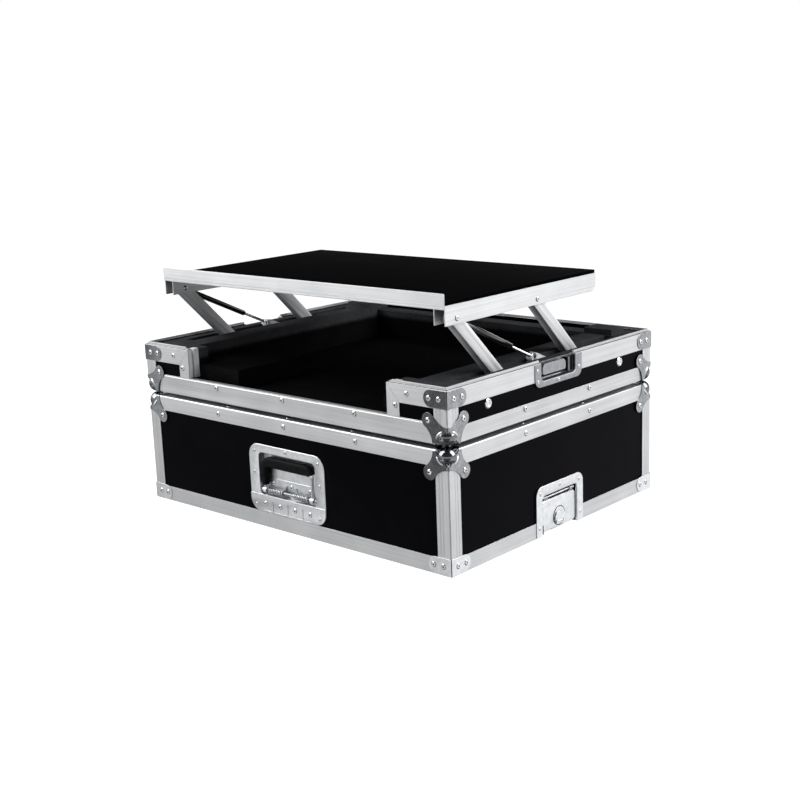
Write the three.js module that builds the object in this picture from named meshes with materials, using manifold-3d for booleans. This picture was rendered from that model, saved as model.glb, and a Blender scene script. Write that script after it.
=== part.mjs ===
import * as THREE from 'three';
import * as BufferGeometryUtils from 'three/addons/utils/BufferGeometryUtils.js';
import Module from 'manifold-3d';

// Flight case for a tabletop mixing controller, in millimetres, +Z up.
// The deep lid stands on its open rim, the shallow tray rests on the lid's ball corners,
// and a laptop shelf leans over the tray on four parallel arms with two gas struts.
// Origin: centre of the footprint, on the ground. X runs to the right, Y to the rear.

// Case shell
const CASE_WIDTH = 700;
const CASE_DEPTH = 555;
const LID_HEIGHT = 194;
const TRAY_HEIGHT = 84;
const PANEL = 7;
const FIT = 0.3;
const OVERRUN = 6;

// Aluminium extrusions
const RAIL_WALL = 1.5;
const RAIL_LEG = 26;
const RAIL_ROUND = 2.5;
const FRONT_RAIL_LEG = 33;
const TRAY_RIM_LEG = 29;
const RIM_BASE = 6;
const RIM_INNER_LEG = 10;
const TONGUE_INSET = 3.5;
const TONGUE_WIDTH = 3;
const TONGUE_HEIGHT = 4;
const TONGUE_PLAY = 0.5;

// Front cut-out between the two ears, and the slotted post that ends each ear
const EAR_WIDTH = 118;
const POST_FACE = 25;
const POST_DEPTH = 24;
const SLOT_INSET = 9;
const SLOT_WIDTH = 4.5;
const SLOT_DEPTH = 11;

// Ball corners
const BALL_RADIUS = 15;
const BALL_PROUD = 3.35;
const CORNER_CHIP = 24;
const LEG_RIVET = 36;
const LOBE_RADIUS = 12;
const LEG_EDGE = 29;
const LEG_WAIST = 14;
const LOBE_SPREAD = THREE.MathUtils.degToRad(115);
const COLLAR_RADIUS = 14.5;
const COLLAR_WIRE = 1.4;
const COLLAR_DEPTH = 9.8;

// Flat brackets and rivets
const PLATE = 1;
const BRACKET_LEG = 45;
const BRACKET_HEIGHT = 27;
const BRACKET_MARGIN = 1;
const RIVET_RADIUS = 4.7;
const RIVET_RISE = 1.7;
const RIVET_RIM = 0.4;
const RIVET_CROWN_SHARE = 0.55;

// Recessed spring handle
const HANDLE_WIDTH = 178;
const HANDLE_HEIGHT = 117;
const HANDLE_ROUND = 22;
const HINGE_PLATE_HEIGHT = 30;
const POCKET_WIDTH = 132;
const POCKET_TOP_MARGIN = 15;
const POCKET_ROUND = 9;
const POCKET_LOW_ROUND = 4;
const POCKET_DEPTH = 13;
const AXLE_RADIUS = 3;
const AXLE_RISE = 8;
const AXLE_SET_BACK = 5;
const BAIL_SPAN = 112;
const BAIL_WIRE = 3;
const BAIL_BEND = 12;
const EYE_RADIUS = 5.2;
const EYE_LENGTH = 8;
const GRIP_HEIGHT = 19;
const GRIP_DEPTH = 12;
const GRIP_ARM = 12;
const GRIP_ARM_LENGTH = 26;
const GRIP_TOP_GAP = 5;
const SPRING_WIRE = 0.8;
const SPRING_PITCH = 4;
const SPRING_INNER_END = 12;
const SPRING_PLAY = 0.6;
const SPRING_TAIL = 12;
const SPRING_SAMPLE = 0.25;
const STRAP_HEIGHT = 20;
const STRAP_WIDTH = 100;
const STRAP_RISE = 8;

// Twist latch in the lid's sides
const LATCH_WIDTH = 130;
const LATCH_HEIGHT = 84;
const LATCH_ROUND = 16;
const LATCH_LIFT = 1;
const LATCH_POCKET_WIDTH = 96;
const LATCH_POCKET_TOP = 66;
const LATCH_POCKET_DEPTH = 10;
const LATCH_COVER_WIDTH = 72;
const LATCH_COVER_LOW = 9;
const LATCH_COVER_TOP = 56;
const COVER_SET_BACK = 2.2;
const COVER_WALL = 1.6;
const SPINDLE_HEIGHT = 23;
const SPINDLE_RADIUS = 4;
const DISC_RADIUS = 15;
const DISC_THICK = 1;
const WING_RADIUS = 14;
const WING_RISE = 17;
const WING_THICK = 1.2;
const KNUCKLE_RADIUS = 1.2;
const LUG_WIDTH = 3;
const HOOK_WIDTH = 34;
const HOOK_THICK = 2;
const HOOK_TOP = 50;
const HOOK_LOW = 2;
const HOOK_LIP = 3;

// Catch in the tray's sides
const CATCH_WIDTH = 128;
const CATCH_HEIGHT = 38;
const CATCH_ROUND = 14;
const CATCH_POCKET_WIDTH = 92;
const CATCH_FLOOR_MARGIN = 10;
const CATCH_POCKET_DEPTH = 9;
const CATCH_POCKET_ROUND = 6;
const KEEPER_WIDTH = 64;
const KEEPER_HEIGHT = 20;
const KEEPER_LIP = 4;

// Laptop shelf
const SHELF_INSET = 27;
const SHELF_FRONT = 32;
const SHELF_DEPTH = 392;
const BOARD_THICK = 5;
const BOARD_ROUND = 4;
const LIP_HEIGHT = 24;
const LIP_DROP = 6;
const LIP_WALL = 1.5;
const LIP_LEG = 14;
const CHANNEL_WIDTH = 22;
const CHANNEL_HEIGHT = 30;
const CHANNEL_WALL = 1.5;
const CHANNEL_CHAMFER = 9;

// Arms, their rails in the tray, and the pivots
const ARM_WIDTH = 16;
const ARM_DEPTH = 21;
const ARM_WALL = 1.6;
const ARM_LENGTH = 186.7;
const ARM_LEAN = THREE.MathUtils.degToRad(45);
const ARM_WEB_END = 9;
const STRUT_NOTCH = 56;
const FRONT_PIVOT = 193;
const PIVOT_SPACING = 200;
const PIVOT_HEIGHT = 47;
const PIVOT_EDGE = 9;
const PIVOT_RADIUS = 2.5;
const PIVOT_HEAD_RADIUS = 4.5;
const PIVOT_HEAD_RISE = 2.5;
const ARM_RAIL_LENGTH = 410;
const RAIL_BOLT_INSET = 25.5;
const BOLT_HEIGHT = 46;
const BOLT_RADIUS = 3;
const CUP_RADIUS = 8;
const CUP_RISE = 1.4;
const NUT_RADIUS = 5;
const NUT_THICK = 4;

// Gas struts
const STRUT_RADIUS = 5;
const STRUT_END = 158;
const STRUT_SHOULDER = 26;
const STRUT_EYE_RADIUS = 8.2;
const STRUT_EYE_PLAY = 3;
const STRUT_EYE_THICK = 8;
const ROD_RADIUS = 2.5;
const ROD_LENGTH = 128;
const HOOK_EYE_RADIUS = 6.5;
const HOOK_EYE_THICK = 7;
const ANCHOR_AT = 258;
const ANCHOR_HEIGHT = 86;
const ANCHOR_WALL = 2;
const ANCHOR_ROUND = 8;
const ANCHOR_TAIL = 44;
const ANCHOR_TAIL_HEIGHT = 15;
const ANCHOR_FOOT = 20;

// Foam lining of the tray
const FOAM_GAP = 0.5;
const FOAM_BASE = 12;
const SIDE_FOAM_TOP = 83;
const SIDE_FOAM_WIDTH = 83;
const RIGHT_LEDGE_WIDTH = 56;
const LEFT_LEDGE_WIDTH = 127;
const LEDGE_DEPTH = 150;
const EAR_FOAM_DEPTH = 22;
const LEDGE_TOP = 55;
const REAR_FOAM_DEPTH = 34;
const REAR_FOAM_TOP = 78;
const REAR_PAD_RISE = 10;
const REAR_PAD_DEPTH = 40;
const REAR_PAD_WIDTH = 57;
const REAR_PAD_INSET = 50;
const ARM_SLOT_PLAY = 2;

// Facet counts
const BALL_SEGMENTS = 12;
const COLLAR_SEGMENTS = 12;
const RIVET_SEGMENTS = 7;
const ROUND_SEGMENTS = 16;
const SMALL_SEGMENTS = 8;
const AXLE_SEGMENTS = 12;
const NUT_SIDES = 6;
const ARC_STEPS = 5;
const CORNER_STEPS = 2;
const SPRING_STEPS = 8;
const WIRE_SIDES = 5;

// Places that follow from the sizes above
const HALF_WIDTH = CASE_WIDTH / 2;
const HALF_DEPTH = CASE_DEPTH / 2;
const STACK_GAP = 2 * BALL_PROUD + FIT;
const TRAY_BASE = LID_HEIGHT + STACK_GAP;
const SHOULDER = TRAY_BASE + TRAY_HEIGHT;
const PANEL_FACE = RAIL_WALL + FIT;
const PANEL_BACK = PANEL_FACE + PANEL;
const RIM_THICK = PANEL_BACK + FIT + RAIL_WALL;
const SILL_TOP = TRAY_BASE + FRONT_RAIL_LEG;
const FLOOR_TOP = TRAY_BASE + PANEL_BACK;
const HALF_OPENING = HALF_WIDTH - EAR_WIDTH;
const POST_WEB = SLOT_DEPTH + RAIL_WALL;

const wasm = await Module();
wasm.setup();

// Solids and their joins
function clean(geometry) {
  const bare = geometry.clone();
  bare.deleteAttribute('normal');
  bare.deleteAttribute('uv');
  return BufferGeometryUtils.mergeVertices(bare);
}

function toSolid(geometry) {
  const merged = clean(geometry);
  const mesh = new wasm.Mesh({
    numProp: 3,
    vertProperties: new Float32Array(merged.attributes.position.array),
    triVerts: new Uint32Array(merged.index.array),
  });
  return new wasm.Manifold(mesh);
}

function toGeometry(solid) {
  const mesh = solid.getMesh();
  const geometry = new THREE.BufferGeometry();
  geometry.setAttribute('position', new THREE.BufferAttribute(new Float32Array(mesh.vertProperties), 3));
  geometry.setIndex(new THREE.BufferAttribute(new Uint32Array(mesh.triVerts), 1));
  return geometry;
}

function cut(base, ...tools) {
  let solid = toSolid(base);
  for (const tool of tools) {
    solid = solid.subtract(toSolid(tool));
  }
  return toGeometry(solid);
}

function join(base, ...others) {
  let solid = toSolid(base);
  for (const other of others) {
    solid = solid.add(toSolid(other));
  }
  return toGeometry(solid);
}

function mirrored(geometry, sx, sy, sz) {
  const copy = clean(geometry);
  copy.scale(sx, sy, sz);
  if (sx * sy * sz < 0) {
    const order = copy.index.array;
    for (let i = 0; i < order.length; i += 3) {
      [order[i], order[i + 1]] = [order[i + 1], order[i]];
    }
  }
  return copy;
}

function moved(geometry, x, y, z) {
  return geometry.clone().translate(x, y, z);
}

// A block between two values on each axis
function block([x0, x1], [y0, y1], [z0, z1]) {
  const geometry = new THREE.BoxGeometry(x1 - x0, y1 - y0, z1 - z0);
  return geometry.translate((x0 + x1) / 2, (y0 + y1) / 2, (z0 + z1) / 2);
}

// A flat outline raised between two heights
function raised(shape, low, high, segments = ARC_STEPS) {
  const options = { depth: high - low, bevelEnabled: false, curveSegments: segments };
  return new THREE.ExtrudeGeometry(shape, options).translate(0, 0, low);
}

// An outline drawn in y and z, run along X between two values
function alongX(shape, from, to, segments = ARC_STEPS) {
  const turn = new THREE.Matrix4().makeBasis(
    new THREE.Vector3(0, 1, 0),
    new THREE.Vector3(0, 0, 1),
    new THREE.Vector3(1, 0, 0),
  );
  return raised(shape, from, to, segments).applyMatrix4(turn);
}

// A round bar along X, centred on a point
function barAlongX(radius, from, to, y, z, segments = ROUND_SEGMENTS) {
  const bar = new THREE.CylinderGeometry(radius, radius, to - from, segments);
  bar.rotateZ(Math.PI / 2);
  return bar.translate((from + to) / 2, y, z);
}

function outline(points) {
  return new THREE.Shape(points.map(([x, y]) => new THREE.Vector2(x, y)));
}

// A rectangle with its own radius for the lower and the upper corners
function roundedRectangle([x0, x1], [y0, y1], lowRound, topRound) {
  const shape = new THREE.Shape();
  shape.moveTo(x0 + lowRound, y0);
  shape.lineTo(x1 - lowRound, y0);
  if (lowRound > 0) shape.absarc(x1 - lowRound, y0 + lowRound, lowRound, -Math.PI / 2, 0, false);
  shape.lineTo(x1, y1 - topRound);
  if (topRound > 0) shape.absarc(x1 - topRound, y1 - topRound, topRound, 0, Math.PI / 2, false);
  shape.lineTo(x0 + topRound, y1);
  if (topRound > 0) shape.absarc(x0 + topRound, y1 - topRound, topRound, Math.PI / 2, Math.PI, false);
  shape.lineTo(x0, y0 + lowRound);
  if (lowRound > 0) shape.absarc(x0 + lowRound, y0 + lowRound, lowRound, Math.PI, 1.5 * Math.PI, false);
  return shape;
}

function arc(cx, cy, radius, from, to, steps) {
  const points = [];
  for (let i = 0; i <= steps; i += 1) {
    const angle = from + ((to - from) * i) / steps;
    points.push([cx + radius * Math.cos(angle), cy + radius * Math.sin(angle)]);
  }
  return points;
}

// The four faces are numbered by quarter turns: 0 front, 1 right, 2 rear, 3 left
function faceOut(turn) {
  return turn % 2 === 0 ? HALF_DEPTH : HALF_WIDTH;
}

function faceSpan(turn) {
  return turn % 2 === 0 ? HALF_WIDTH : HALF_DEPTH;
}

// A piece drawn with x along the face, y up and z out of the face
function onFace(geometry, turn) {
  const placed = geometry.clone().translate(0, 0, faceOut(turn));
  placed.rotateX(Math.PI / 2);
  return placed.rotateZ((turn * Math.PI) / 2);
}

// Extrusions

// Stations of a run of extrusion: the mitre at an upright corner, or a square end on a face
function cornerStation(sx, sy) {
  return (inset) => [sx * (HALF_WIDTH - inset), sy * (HALF_DEPTH - inset)];
}

function endStation(turn, along) {
  const angle = (turn * Math.PI) / 2;
  return (inset) => {
    const y = inset - faceOut(turn);
    return [along * Math.cos(angle) - y * Math.sin(angle), along * Math.sin(angle) + y * Math.cos(angle)];
  };
}

// A section of [inset from the face, height], anticlockwise, run through stations that follow
// the walls anticlockwise; a closed run has no ends
function extrusion(section, stations, closed) {
  const count = section.length;
  const positions = stations.flatMap((station) => (
    section.flatMap(([inset, height]) => [...station(inset), height])
  ));
  const index = [];
  const bays = closed ? stations.length : stations.length - 1;
  for (let bay = 0; bay < bays; bay += 1) {
    const here = bay * count;
    const next = ((bay + 1) % stations.length) * count;
    for (let i = 0; i < count; i += 1) {
      const j = (i + 1) % count;
      index.push(here + i, here + j, next + j, here + i, next + j, next + i);
    }
  }
  if (!closed) {
    const end = (stations.length - 1) * count;
    for (const [a, b, c] of THREE.ShapeUtils.triangulateShape(outline(section).getPoints(), [])) {
      index.push(a, c, b, a + end, b + end, c + end);
    }
  }
  const geometry = new THREE.BufferGeometry();
  geometry.setAttribute('position', new THREE.Float32BufferAttribute(positions, 3));
  geometry.setIndex(index);
  return geometry;
}

// Angle over an edge of the shell: down from the lid's top, or up from the tray's bottom
function angleSection(edge, direction, sideLeg) {
  const drop = (length) => edge - direction * length;
  const points = [
    [0, drop(sideLeg)],
    [RAIL_WALL, drop(sideLeg)],
    [RAIL_WALL, drop(RAIL_WALL)],
    [RAIL_LEG, drop(RAIL_WALL)],
    [RAIL_LEG, edge],
    ...arc(RAIL_ROUND, 0, RAIL_ROUND, Math.PI / 2, Math.PI, CORNER_STEPS)
      .map(([inset, rise]) => [inset, drop(RAIL_ROUND - rise)]),
  ];
  return direction > 0 ? points : points.reverse();
}

// The lid's lower rim takes the walls' edge and has the groove for the tray's tongue
function lidRimSection() {
  const grooveIn = TONGUE_INSET - TONGUE_PLAY;
  const grooveOut = TONGUE_INSET + TONGUE_WIDTH + TONGUE_PLAY;
  const grooveTop = TONGUE_HEIGHT + TONGUE_PLAY;
  return [
    [0, 0],
    [grooveIn, 0],
    [grooveIn, grooveTop],
    [grooveOut, grooveTop],
    [grooveOut, 0],
    [RIM_THICK, 0],
    [RIM_THICK, RIM_BASE + RIM_INNER_LEG],
    [RIM_THICK - RAIL_WALL, RIM_BASE + RIM_INNER_LEG],
    [RIM_THICK - RAIL_WALL, RIM_BASE],
    [RAIL_WALL, RIM_BASE],
    [RAIL_WALL, RAIL_LEG],
    [0, RAIL_LEG],
  ];
}

function trayRimSection() {
  return [
    [0, SHOULDER - TRAY_RIM_LEG],
    [RAIL_WALL, SHOULDER - TRAY_RIM_LEG],
    [RAIL_WALL, SHOULDER - RIM_BASE],
    [RIM_THICK - RAIL_WALL, SHOULDER - RIM_BASE],
    [RIM_THICK - RAIL_WALL, SHOULDER - RIM_BASE - RIM_INNER_LEG],
    [RIM_THICK, SHOULDER - RIM_BASE - RIM_INNER_LEG],
    [RIM_THICK, SHOULDER],
    [TONGUE_INSET + TONGUE_WIDTH, SHOULDER],
    [TONGUE_INSET + TONGUE_WIDTH, SHOULDER + TONGUE_HEIGHT],
    [TONGUE_INSET, SHOULDER + TONGUE_HEIGHT],
    [TONGUE_INSET, SHOULDER],
    [0, SHOULDER],
  ];
}

// Upright angle on a corner, drawn for the corner at the origin with the case at negative x and y
function cornerRail(low, high) {
  const shape = outline([
    [-RAIL_LEG, 0],
    [-RAIL_LEG, -RAIL_WALL],
    [-RAIL_WALL, -RAIL_WALL],
    [-RAIL_WALL, -RAIL_LEG],
    [0, -RAIL_LEG],
    ...arc(-RAIL_ROUND, -RAIL_ROUND, RAIL_ROUND, 0, Math.PI / 2, CORNER_STEPS),
  ]);
  return raised(shape, low, high);
}

// The four upright corners, as signs of x and y, anticlockwise from the front left
const CORNERS = [[-1, -1], [1, -1], [1, 1], [-1, 1]];
const CORNER_NAMES = ['front_left', 'front_right', 'rear_right', 'rear_left'];
const RING = CORNERS.map(([sx, sy]) => cornerStation(sx, sy));

function atCorner(geometry, sx, sy) {
  return moved(mirrored(geometry, sx, sy, 1), sx * HALF_WIDTH, sy * HALF_DEPTH, 0);
}

// Rivets and ball corners

// Rivet head: a low dome with its foot sunk in what carries it
function rivet() {
  const profile = [
    [0, -FIT],
    [RIVET_RADIUS, -FIT],
    [RIVET_RADIUS, RIVET_RIM],
    [RIVET_RADIUS * RIVET_CROWN_SHARE, RIVET_RISE],
    [0, RIVET_RISE],
  ].map(([r, z]) => new THREE.Vector2(r, z));
  return new THREE.LatheGeometry(profile, RIVET_SEGMENTS).rotateX(Math.PI / 2);
}

// The tip that a ball corner replaces: everything outside one plane square to the diagonal
function chip(depth, reach) {
  const far = -depth - 2 * reach;
  const geometry = new THREE.BufferGeometry();
  const points = [reach, reach, reach, far, reach, reach, reach, far, reach, reach, reach, far];
  geometry.setAttribute('position', new THREE.Float32BufferAttribute(points, 3));
  geometry.setIndex([0, 1, 2, 0, 3, 1, 0, 2, 3, 1, 3, 2]);
  return geometry;
}

function chips(height, sz) {
  return CORNERS.map(([sx, sy]) => {
    const tool = mirrored(chip(CORNER_CHIP, OVERRUN), sx, sy, sz);
    return moved(tool, sx * HALF_WIDTH, sy * HALF_DEPTH, height);
  });
}

// One pressed leg: it starts on both edges, draws in to a waist and ends in a round lobe
function legOutline() {
  const edge = FIT + PLATE;
  const diagonal = 1.25 * Math.PI;
  const [from, to] = [diagonal - LOBE_SPREAD, diagonal + LOBE_SPREAD];
  const lobe = arc(-LEG_RIVET, -LEG_RIVET, LOBE_RADIUS, from, to, ARC_STEPS + 1);
  const first = lobe[0];
  const shape = new THREE.Shape();
  shape.moveTo(edge, edge);
  shape.lineTo(-LEG_EDGE, edge);
  shape.quadraticCurveTo(-LEG_EDGE, -LEG_WAIST, first[0], first[1]);
  for (const [x, y] of lobe.slice(1)) {
    shape.lineTo(x, y);
  }
  shape.quadraticCurveTo(-LEG_WAIST, -LEG_EDGE, edge, -LEG_EDGE);
  return shape;
}

// Turns a piece about the corner's diagonal, so that x goes to y, y to z and z to x
function cycled(geometry, times) {
  const copy = geometry.clone();
  const diagonal = new THREE.Vector3(1, 1, 1).normalize();
  return copy.applyMatrix4(new THREE.Matrix4().makeRotationAxis(diagonal, (times * 2 * Math.PI) / 3));
}

// Drawn for the corner at the origin, with the case at negative x, y and z
function ballCorner(sideRailLeg) {
  const leg = raised(legOutline(), -RAIL_WALL, FIT + PLATE, CORNER_STEPS);
  const tip = chip(CORNER_CHIP, OVERRUN);
  const legs = cut(join(leg, cycled(leg, 1), cycled(leg, 2)), tip);
  const inset = BALL_RADIUS - BALL_PROUD;
  const ball = new THREE.SphereGeometry(BALL_RADIUS, BALL_SEGMENTS, BALL_SEGMENTS / 2);
  ball.rotateX(Math.PI / 2);
  ball.translate(-inset, -inset, -inset);
  const collar = new THREE.TorusGeometry(COLLAR_RADIUS, COLLAR_WIRE, WIRE_SIDES, COLLAR_SEGMENTS);
  const diagonal = new THREE.Vector3(1, 1, 1).normalize();
  collar.applyQuaternion(new THREE.Quaternion().setFromUnitVectors(new THREE.Vector3(0, 0, 1), diagonal));
  collar.translate(-COLLAR_DEPTH, -COLLAR_DEPTH, -COLLAR_DEPTH);
  const far = LEG_RIVET + LOBE_RADIUS + OVERRUN;
  const leg0 = [-far, -RAIL_LEG - FIT];
  const side0 = [-far, -sideRailLeg - FIT];
  const deep = [-far, FIT];
  const shell = cut(
    block(deep, deep, deep),
    chip(CORNER_CHIP - FIT * Math.sqrt(3), OVERRUN),
    block(leg0, leg0, [-RAIL_WALL, FIT + OVERRUN]),
    block([-RAIL_WALL, FIT + OVERRUN], leg0, leg0),
    block(leg0, [-RAIL_WALL, FIT + OVERRUN], side0),
  );
  const head = moved(rivet(), -LEG_RIVET, -LEG_RIVET, FIT + PLATE);
  return cut(join(legs, ball, collar, head, cycled(head, 1), cycled(head, 2)), shell);
}

// Flat bracket round an open rim, drawn for the corner at the origin
function flatBracket(low, high) {
  const round = (high - low) / 2;
  const tab = new THREE.Shape();
  tab.moveTo(PLATE, low);
  tab.lineTo(PLATE, high);
  tab.lineTo(round - BRACKET_LEG, high);
  tab.absarc(round - BRACKET_LEG, low + round, round, Math.PI / 2, 1.5 * Math.PI, false);
  const plate = raised(tab, -FIT, PLATE).rotateX(Math.PI / 2);
  const front = mirrored(plate, 1, -1, 1);
  return join(front, mirrored(front.clone().rotateZ(Math.PI / 2), -1, 1, 1));
}

// A polyline taken as a track, so that each of its points becomes one section of a tube
class Track extends THREE.Curve {
  constructor(points) {
    super();
    this.points = points.map(([x, y, z]) => new THREE.Vector3(x, y, z));
  }

  getPoint(t) {
    const last = this.points.length - 1;
    const place = Math.min(Math.max(t, 0), 1) * last;
    const index = Math.min(Math.floor(place), last - 1);
    return this.points[index].clone().lerp(this.points[index + 1], place - index);
  }

  getPointAt(u) {
    return this.getPoint(u);
  }

  getTangentAt(u) {
    const step = 1 / (this.points.length - 1);
    return this.getPoint(u + step).sub(this.getPoint(u - step)).normalize();
  }
}

function tube(points, radius, sides) {
  const section = new THREE.Shape(arc(0, 0, radius, 0, 2 * Math.PI, sides)
    .slice(1).map(([x, y]) => new THREE.Vector2(x, y)));
  const extrudePath = new Track(points);
  return new THREE.ExtrudeGeometry(section, { steps: points.length - 1, bevelEnabled: false, extrudePath });
}

// Walls of both boxes: front and rear run the whole width, sides stand between them
function wall(turn, low, high) {
  const reach = turn % 2 === 0 ? HALF_WIDTH - PANEL_FACE : HALF_DEPTH - PANEL_BACK - FIT;
  return onFace(block([-reach, reach], [low, high], [-PANEL_BACK, -PANEL_FACE]), turn);
}

// A pressed recess seen from its face, grown by a margin
function recess(width, [low, high], lowRound, topRound, margin, depth, out) {
  const half = width / 2 + margin;
  const shape = roundedRectangle([-half, half], [low - margin, high + margin], lowRound, topRound);
  return raised(shape, -depth, out);
}

// The band beside a rail where a plate stays outside the rail's face
function railBand(low, high) {
  return block([-HALF_WIDTH, HALF_WIDTH], [low - FIT, high + FIT], [-2 * PANEL_BACK, FIT]);
}

const lidChips = chips(LID_HEIGHT, 1);
const trayChips = chips(TRAY_BASE, -1);
const SIDES = [['right', 1], ['left', 3]];

// Handle levels; its dish stands on the rim's edge, flat against the panel
const HANDLE_FOOT = RAIL_LEG + FIT;
const HANDLE_TOP = HANDLE_FOOT + HANDLE_HEIGHT;
const POCKET_LOW = HANDLE_FOOT + HINGE_PLATE_HEIGHT;
const POCKET_TOP = HANDLE_TOP - POCKET_TOP_MARGIN;
const AXLE_Y = AXLE_SET_BACK - HALF_DEPTH;
const AXLE_Z = POCKET_LOW + AXLE_RISE;
const GRIP_Z = POCKET_TOP - GRIP_TOP_GAP - GRIP_HEIGHT / 2;

// Latch and catch levels
const LATCH_RAIL_END = LATCH_POCKET_WIDTH / 2 + PLATE + FIT;
const CATCH_TOP = SHOULDER - LATCH_LIFT;
const CATCH_LOW = CATCH_TOP - CATCH_HEIGHT;
const CATCH_FLOOR = CATCH_LOW + CATCH_FLOOR_MARGIN;
const CATCH_RAIL_END = CATCH_POCKET_WIDTH / 2 + PLATE + FIT;

// Lid panels
const lidWallTop = LID_HEIGHT - PANEL_BACK - FIT;
const lidWallLow = RIM_BASE + FIT;
const handleHole = recess(
  POCKET_WIDTH,
  [POCKET_LOW, POCKET_TOP],
  POCKET_LOW_ROUND,
  POCKET_ROUND,
  PLATE + FIT,
  2 * PANEL_BACK,
  OVERRUN,
);
const latchHole = recess(
  LATCH_POCKET_WIDTH, [0, LATCH_POCKET_TOP], 0, POCKET_ROUND, PLATE + FIT, 2 * PANEL_BACK, OVERRUN,
);
const lidFrontPanel = cut(wall(0, lidWallLow, lidWallTop), onFace(handleHole, 0), ...lidChips);
const lidRearPanel = cut(wall(2, lidWallLow, lidWallTop), ...lidChips);
function lidSidePanel(turn) {
  return cut(wall(turn, lidWallLow, lidWallTop), onFace(latchHole, turn), ...lidChips);
}

const topReachX = HALF_WIDTH - PANEL_FACE;
const topReachY = HALF_DEPTH - PANEL_FACE;
const lidTopPanel = cut(
  block(
    [-topReachX, topReachX],
    [-topReachY, topReachY],
    [LID_HEIGHT - PANEL_BACK, LID_HEIGHT - PANEL_FACE],
  ),
  ...lidChips,
);

// Lid extrusions: the frame round the top, and two rims that stop at the latches
const lidTopFrame = cut(extrusion(angleSection(LID_HEIGHT, 1, RAIL_LEG), RING, true), ...lidChips);

function lidRim(stations, corners) {
  return join(
    extrusion(lidRimSection(), stations, false),
    ...corners.flatMap(([sx, sy]) => [
      atCorner(cornerRail(RAIL_LEG - RAIL_WALL, LID_HEIGHT - RAIL_LEG - FIT), sx, sy),
      atCorner(flatBracket(BRACKET_MARGIN, BRACKET_MARGIN + BRACKET_HEIGHT), sx, sy),
    ]),
  );
}

const lidRimFront = lidRim(
  [endStation(3, LATCH_RAIL_END), RING[0], RING[1], endStation(1, -LATCH_RAIL_END)],
  CORNERS.slice(0, 2),
);
const lidRimRear = lidRim(
  [endStation(1, LATCH_RAIL_END), RING[2], RING[3], endStation(3, -LATCH_RAIL_END)],
  CORNERS.slice(2),
);

// Handle dish
const flangeFace = FIT + PLATE - PANEL_FACE;
const handleSides = [-HANDLE_WIDTH / 2, HANDLE_WIDTH / 2];
const handleFlange = raised(
  roundedRectangle(handleSides, [HANDLE_FOOT, HANDLE_TOP], HANDLE_ROUND, HANDLE_ROUND),
  FIT - PANEL_FACE,
  flangeFace,
);
const handleSpan = [POCKET_LOW, POCKET_TOP];
const handleShell = recess(
  POCKET_WIDTH,
  handleSpan,
  POCKET_LOW_ROUND,
  POCKET_ROUND + PLATE,
  PLATE,
  POCKET_DEPTH + PLATE,
  FIT - PANEL_FACE + PLATE / 2,
);
const handlePocket = recess(
  POCKET_WIDTH, handleSpan, POCKET_LOW_ROUND, POCKET_ROUND, 0, POCKET_DEPTH, OVERRUN,
);

// Strap riveted across the back of the recess
const strapLow = POCKET_LOW + STRAP_RISE;
const strapOut = PLATE - POCKET_DEPTH;
const handleDish = onFace(
  join(
    cut(join(handleFlange, handleShell), handlePocket),
    block(
      [-STRAP_WIDTH / 2, STRAP_WIDTH / 2],
      [strapLow, strapLow + STRAP_HEIGHT],
      [-POCKET_DEPTH - FIT, strapOut],
    ),
  ),
  0,
);

// Hinge plate with its row of rivets
const hingeFace = flangeFace + FIT + PLATE;
const hingeRivetPitch = HANDLE_WIDTH / 5;
const hingePlate = onFace(
  join(
    raised(
      roundedRectangle(handleSides, [HANDLE_FOOT, POCKET_LOW], HANDLE_ROUND, 0),
      flangeFace + FIT,
      hingeFace,
    ),
    ...[-1.5, -0.5, 0.5, 1.5].map((share) => (
      moved(rivet(), share * hingeRivetPitch, HANDLE_FOOT + HINGE_PLATE_HEIGHT / 2, hingeFace)
    )),
  ),
  0,
);

// Bail, grip, axle and springs, drawn in the plane of the axle
const bailArm = BAIL_SPAN / 2;
const bendLow = GRIP_Z - BAIL_BEND;
const bendX = bailArm - BAIL_BEND;
const bailTrack = [
  [-bailArm, AXLE_Y, AXLE_Z + AXLE_RADIUS + 2 * FIT],
  ...arc(-bendX, bendLow, BAIL_BEND, Math.PI, Math.PI / 2, ARC_STEPS).map(([x, z]) => [x, AXLE_Y, z]),
  ...arc(bendX, bendLow, BAIL_BEND, Math.PI / 2, 0, ARC_STEPS).map(([x, z]) => [x, AXLE_Y, z]),
  [bailArm, AXLE_Y, AXLE_Z + AXLE_RADIUS + 2 * FIT],
];

function bailEye(side) {
  const low = side * bailArm - EYE_LENGTH / 2;
  const high = side * bailArm + EYE_LENGTH / 2;
  return cut(
    barAlongX(EYE_RADIUS, low, high, AXLE_Y, AXLE_Z),
    barAlongX(AXLE_RADIUS + FIT, low - OVERRUN, high + OVERRUN, AXLE_Y, AXLE_Z),
  );
}

const handleBail = join(tube(bailTrack, BAIL_WIRE, SMALL_SEGMENTS), bailEye(-1), bailEye(1));

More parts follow.
